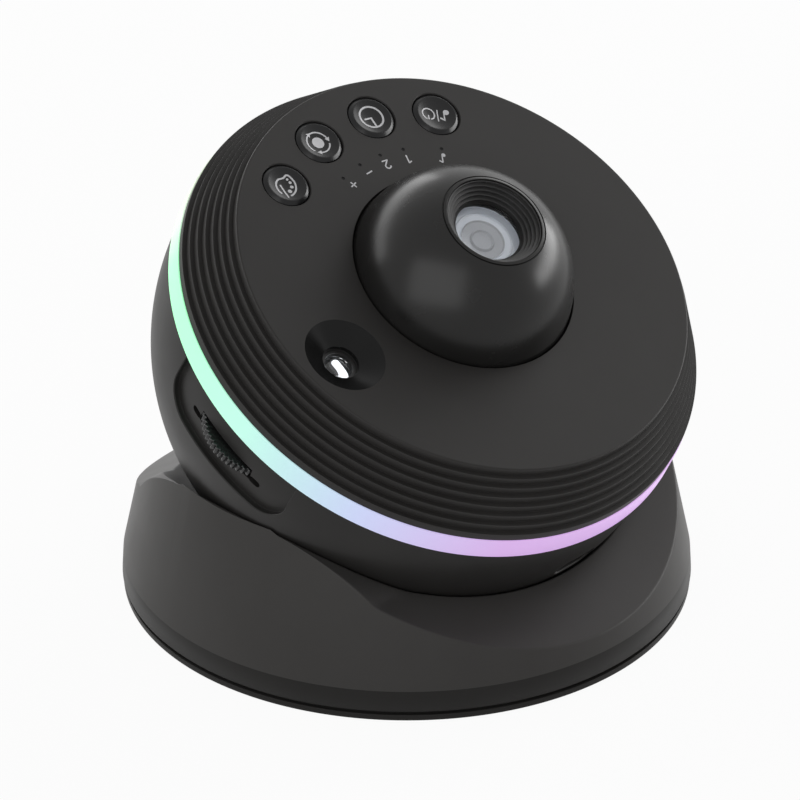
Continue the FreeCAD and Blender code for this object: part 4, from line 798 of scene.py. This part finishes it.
def add_button(label, body, angle, icon, materials):
    """A cap with a stem, a flange under the face and a hollowed top that carries its mark."""
    centre = polar(BUTTON_CIRCLE, angle)
    stem, flange, foot, low, high = 1.8, 7.6, 26.8, 29.0, 29.9
    reaches = [HOLLOW_RADIUS * step / 14 for step in range(14, -1, -1)]
    corners = [(0, foot), (stem, foot), (stem, low), (flange, low, 0.2), (flange, high, 0.2),
               (BUTTON_RADIUS, high), (BUTTON_RADIUS, FACE - 0.35, 0.25), (5.65, BUTTON_TOP, 0.12)]
    corners += [(reach, hollow_height(reach, 0)) for reach in reaches]
    cap = lathe(label + "_cap", corners, 96, False, centre)
    finish_piece(cap, body, [materials["button"]], [label], HEAD, sharp=50)
    mark = print_mark(label + "_icon", icon, centre, angle, hollow_height)
    finish_piece(mark, body, [materials["print"]], place=HEAD)


def strip(points, width):
    """A flat line of even width through points, as quads: ([(x, y)], [face])."""
    left, right = [], []
    for index, here in enumerate(points):
        before = points[max(index - 1, 0)]
        after = points[min(index + 1, len(points) - 1)]
        along = Vector(after) - Vector(before)
        side = Vector((-along.y, along.x)).normalized() * width / 2
        left.append((here[0] + side.x, here[1] + side.y))
        right.append((here[0] - side.x, here[1] - side.y))
    count = len(points)
    faces = [(index, count + index, count + index + 1, index + 1) for index in range(count - 1)]
    return left + right, faces


def smoothed(points, rounds=2):
    """An open line with its corners cut off again and again."""
    for _ in range(rounds):
        line = [points[0]]
        for here, after in zip(points, points[1:]):
            line += [(0.75 * here[0] + 0.25 * after[0], 0.75 * here[1] + 0.25 * after[1]),
                     (0.25 * here[0] + 0.75 * after[0], 0.25 * here[1] + 0.75 * after[1])]
        points = line + [points[-1]]
    return points


def ring_line(x, y, radius, start, end, width, steps=24):
    spread = [math.radians(start + (end - start) * step / steps) for step in range(steps + 1)]
    return strip([(x + radius * math.cos(angle), y + radius * math.sin(angle)) for angle in spread], width)


def straight(start, end, width, steps=6):
    run, rise = end[0] - start[0], end[1] - start[1]
    return strip([(start[0] + run * step / steps, start[1] + rise * step / steps)
                  for step in range(steps + 1)], width)


def spot(x, y, radius, steps=20):
    points = [(x, y)] + [(x + radius * math.cos(2 * math.pi * step / steps),
                          y + radius * math.sin(2 * math.pi * step / steps)) for step in range(steps)]
    return points, [(0, 1 + step, 1 + (step + 1) % steps) for step in range(steps)]


def arrow_head(x, y, heading, size):
    turn = math.radians(heading)
    points = []
    for along, side in ((size, 0), (-0.3 * size, 0.75 * size), (-0.3 * size, -0.75 * size)):
        points.append((x + along * math.cos(turn) - side * math.sin(turn),
                       y + along * math.sin(turn) + side * math.cos(turn)))
    return points, [(0, 1, 2)]


def print_mark(name, parts, centre, angle, height):
    """Flat printed shapes laid on a surface, upright for a reader who stands outside that edge."""
    points, faces = [], []
    turn = math.radians(angle + 90)
    for part_points, part_faces in parts:
        start = len(points)
        faces += [tuple(start + corner for corner in face) for face in part_faces]
        for x, y in part_points:
            across = x * math.cos(turn) - y * math.sin(turn)
            up = x * math.sin(turn) + y * math.cos(turn)
            points.append((centre[0] + across, centre[1] + up, height(across, up) + 0.025))
    return new_object(name, points, faces)


def palette_icon():
    """A painter's palette with four dabs, and a brush across it."""
    outline = [(3.1, 2.25), (2.2, 2.75), (0.7, 2.97), (-0.6, 2.7), (-1.75, 2.05), (-2.6, 1.1), (-3.1, -0.1),
               (-3.2, -0.85), (-2.8, -1.3), (-1.85, -1.4), (-1.2, -1.9), (-0.4, -2.65), (0.65, -2.9),
               (1.9, -2.65), (3.0, -1.8), (3.55, -1.0), (3.8, -0.15)]
    dabs = ((-1.85, -0.4, 0.38), (-1.35, 0.65, 0.45), (-0.15, 1.55, 0.52), (1.6, 1.55, 0.62))
    return [strip(smoothed(outline), 0.52), straight((4.1, 1.95), (1.05, -1.6), 0.5),
            *(spot(x, y, radius) for x, y, radius in dabs)]


def rotation_icon():
    """A disc inside three arrows that chase each other."""
    parts = [spot(0.5, 0, 1.8)]
    for start, end in ((142, 56), (24, -76), (-94, -188)):
        parts.append(ring_line(0.5, 0, 3.35, start, end, 0.42))
        tip = math.radians(end - 4)
        parts.append(arrow_head(0.5 + 3.35 * math.cos(tip), 3.35 * math.sin(tip), end - 94, 1.0))
    return parts


def clock_icon():
    return [ring_line(0.1, 0, 3.42, 0, 360, 0.54, 48), straight((0.2, -0.1), (0.12, 3.3), 0.54),
            straight((-0.05, 0.15), (2.5, 0.25), 0.52)]


def power_icon():
    """A power sign, a bar and a note."""
    return [ring_line(2.35, 0.3, 1.82, 108, 432, 0.4), straight((2.38, 0.65), (2.38, 2.2), 0.38),
            straight((-0.42, -1.5), (-0.36, 2.5), 0.34), straight((-2.3, -0.9), (-2.3, 2.1), 0.36),
            straight((-2.42, 1.9), (-1.05, 1.1), 0.55), spot(-2.95, -0.85, 0.85)]


def pinhole_marks():
    """Small generic marks by the pinholes, about 3 mm tall: (name, angle on the face, parts)."""
    dash = straight((-1.1, 0), (1.1, 0), 0.42)
    return [
        ("note", 57.9, [straight((0.5, -1.2), (0.5, 1.4), 0.36), straight((0.5, 1.4), (1.5, 0.8), 0.42),
                        spot(0.05, -1.2, 0.6)]),
        ("one", 74.3, [straight((0.2, -1.4), (0.2, 1.4), 0.42), straight((0.2, 1.3), (-0.75, 0.75), 0.38)]),
        ("two", 85.0, [ring_line(0, 0.6, 0.8, 170, -30, 0.4, 12), straight((0.7, 0.25), (-0.85, -1.25), 0.4),
                       straight((-1.0, -1.25), (1.05, -1.25), 0.38)]),
        ("minus", 95.1, [dash]),
        ("plus", 105.9, [dash, straight((0, -1.1), (0, 1.1), 0.42)]),
    ]


def add_buttons(materials):
    buttons = (("power", power_icon()), ("timer", clock_icon()), ("rotation", rotation_icon()),
               ("colour", palette_icon()))
    for number, (label, icon) in enumerate(buttons):
        add_button(label + "_button", label + "_key", BUTTON_ANGLE + number * BUTTON_STEP, icon, materials)


def add_pinhole_marks(materials):
    for label, angle, parts in pinhole_marks():
        mark = print_mark("mark_" + label, parts, polar(MARK_CIRCLE, angle), angle, lambda x, y: FACE)
        finish_piece(mark, "head", [materials["print"]], place=HEAD)


# ---- lenses and focus wheel ----------------------------------------------------------------

def add_front_lens(materials):
    """The domed front element of the main lens."""
    bulge, edge, low = 1.2, 11.0, LENS_FRONT - 3.3
    curve = (edge ** 2 + bulge ** 2) / (2 * bulge)
    face = []
    for step in range(25):
        radius = edge * (24 - step) / 24
        face.append((radius, LENS_FRONT - curve + math.sqrt(curve ** 2 - radius ** 2)))
    lens = lathe("front_element", [(0, low), (edge - 0.6, low), (edge, low + 0.5)] + face, 128, False)
    finish_piece(lens, "head", [materials["glass"]], ["front_lens"], HEAD)


def add_lens_rings(materials):
    """A frosted plate with rings under the front element, as seen down the baffle; its outer rings are
    lighter, a painted highlight at the lens's edge.
    """
    low = LENS_FRONT - 3.3
    profile = ((10.2, 0.1), (10.2, 0.5), (8.2, 0.7), (7.9, 0.2, 0.1), (7.6, 0.8, 0.1), (6.2, 1.2, 0.1),
               (5.9, 0.7, 0.1), (5.6, 1.3, 0.1), (3.3, 1.5, 0.1), (3.0, 0.8, 0.1), (2.6, 1.5, 0.1),
               (1.2, 1.1, 0.4), (0, 1.0))
    rings = [(radius, low - depth, *rounding) for radius, depth, *rounding in profile]
    plate = lathe("lens_rings", rings, 128, False)
    # Outside this radius the plate takes the lighter material: painted highlight.
    bright_from = 6.0
    for face in plate.data.polygons:
        face.material_index = 1 if face.center.xy.length > bright_from else 0
    finish_piece(plate, "head", [materials["reflector"], materials["reflector_painted_highlight"]],
                 place=HEAD)


def add_painted_glint(materials):
    """A long glowing bar close under the side lens: a painted glint, standing in for a reflection on the
    lens.
    """
    middle = (SIDE[0] + 1.9, SIDE[1] + 0.3)
    outline = [(middle[0] - across, middle[1] + along) for along, across in round_bar(2.3, 0.75)]
    painted_glint = stack("side_painted_glint", [[(x, y, height) for x, y in outline] for height in (23.2, 23.75)])
    # It glows though it is no lamp: painted glint.
    finish_piece(painted_glint, "side_cell", [materials["painted_glint"]], place=HEAD)


def add_wheel(materials):
    """The thumb wheel, with rounded knurls."""
    count, per_knurl, knurl_depth = 60, 10, 0.7
    steps = count * per_knurl
    levels = [(WHEEL_LOW, 0.45), (WHEEL_LOW + 0.12, 0.15), (WHEEL_LOW + 0.4, 0.0), (WHEEL_TOP - 0.4, 0.0),
              (WHEEL_TOP - 0.12, 0.15), (WHEEL_TOP, 0.45)]
    points, faces = [], []
    for height, inset in levels:
        for step in range(steps):
            angle = 2 * math.pi * step / steps
            wave = 0.5 + 0.5 * math.cos(count * angle)
            radius = WHEEL_RADIUS - inset - knurl_depth * (1 - wave ** 0.6)
            points.append((WHEEL_X + radius * math.cos(angle), radius * math.sin(angle), height))
    for row in range(len(levels) - 1):
        here, there = row * steps, (row + 1) * steps
        for step in range(steps):
            after = (step + 1) % steps
            faces.append((here + step, here + after, there + after, there + step))
    faces.append(tuple(range(steps))[::-1])
    faces.append(tuple(range((len(levels) - 1) * steps, len(levels) * steps)))
    wheel = new_object("thumb_wheel", points, faces)
    finish_piece(wheel, "focus_knob", [materials["wheel"]], ["focus_wheel"], HEAD,
                 sharp=60)


# ---- room ----------------------------------------------------------------------------------

FLOOR_REACH, FLOOR_DROP, FLOOR_WHITE = 4.0, 0.0002, 0.95
ROOM_LIGHT = 0.12

# Soft boxes: bearing from the front view (right is 90) and elevation in degrees, size in metres
# and power in watts. All stand at one distance and point at the same place.
LAMPS = {
    "front": (-22, 28, (1.5, 1.1), 8.5),
    "left_behind": (-132, 20, (2.3, 0.7), 13),
    "right_behind": (140, 30, (1.2, 0.7), 8),
    "right": (112, 8, (1.5, 0.34), 11),
}
LAMP_DISTANCE, LAMP_AIM = 1.5, Vector((0, 0, 0.07))


def calculate(tree, operation, first, second):
    """A Math node on an output and either another output or a number."""
    node = tree.nodes.new("ShaderNodeMath")
    node.operation = operation
    tree.links.new(first, node.inputs[0])
    if isinstance(second, float):
        node.inputs[1].default_value = second
    else:
        tree.links.new(second, node.inputs[1])
    return node.outputs[0]


def white_to_camera(tree, shader, output, share):
    """The camera, and reflections, see white, mixed over what the light makes of the surface."""
    path = tree.nodes.new("ShaderNodeLightPath")
    white = tree.nodes.new("ShaderNodeEmission")
    seen = calculate(tree, "MAXIMUM", path.outputs["Is Camera Ray"], path.outputs["Is Glossy Ray"])
    seen = calculate(tree, "MAXIMUM", seen, path.outputs["Is Transmission Ray"])
    mix = tree.nodes.new("ShaderNodeMixShader")
    tree.links.new(calculate(tree, "MULTIPLY", seen, share), mix.inputs["Fac"])
    tree.links.new(shader, mix.inputs[1])
    tree.links.new(white.outputs[0], mix.inputs[2])
    tree.links.new(mix.outputs[0], output)


def add_floor():
    reach = FLOOR_REACH
    floor = new_object("floor", [(-reach, -reach, 0), (reach, -reach, 0), (reach, reach, 0),
                                 (-reach, reach, 0)], [(0, 1, 2, 3)])
    floor.location.z = -FLOOR_DROP
    material = bpy.data.materials.new("floor")
    material.use_nodes = True
    tree = material.node_tree
    shader = tree.nodes["Principled BSDF"]
    shader.inputs["Base Color"].default_value = (0.8, 0.8, 0.8, 1)
    shader.inputs["Roughness"].default_value = 0.9
    white_to_camera(tree, shader.outputs[0], tree.nodes["Material Output"].inputs["Surface"], FLOOR_WHITE)
    floor.data.materials.append(material)


def add_world():
    world = bpy.data.worlds.new("room")
    world.use_nodes = True
    bpy.context.scene.world = world
    tree = world.node_tree
    background = tree.nodes["Background"]
    background.inputs["Color"].default_value = (1, 1, 1, 1)
    background.inputs["Strength"].default_value = ROOM_LIGHT
    white_to_camera(tree, background.outputs[0], tree.nodes["World Output"].inputs["Surface"], 1.0)


def add_lamps():
    turn = Matrix.Rotation(CAMERA_BEARING, 3, "Z")
    for name, (bearing, elevation, size, power) in LAMPS.items():
        data = bpy.data.lights.new(name, "AREA")
        data.shape = "RECTANGLE"
        data.size, data.size_y = size
        data.energy = power
        round_about, up = math.radians(bearing), math.radians(elevation)
        level = math.cos(up)
        place = Vector((level * math.sin(round_about), -level * math.cos(round_about), math.sin(up)))
        lamp = bpy.data.objects.new(name, data)
        lamp.location = turn @ (LAMP_DISTANCE * place)
        lamp.rotation_euler = (LAMP_AIM - lamp.location).to_track_quat("-Z", "Y").to_euler()
        bpy.context.scene.collection.objects.link(lamp)


def main():
    bpy.context.scene.view_settings.view_transform = "Standard"
    add_camera()
    materials = make_materials()
    paint_plain_nodes(materials)
    add_cradle(materials)
    add_base_plate(materials)
    add_bowl(materials)
    add_light_ring(materials)
    add_upper_shell(materials)
    add_dome(materials)
    add_baffle(materials)
    add_buttons(materials)
    add_pinhole_marks(materials)
    add_front_lens(materials)
    add_lens_rings(materials)
    add_painted_glint(materials)
    add_wheel(materials)
    add_floor()
    add_world()
    add_lamps()


main()
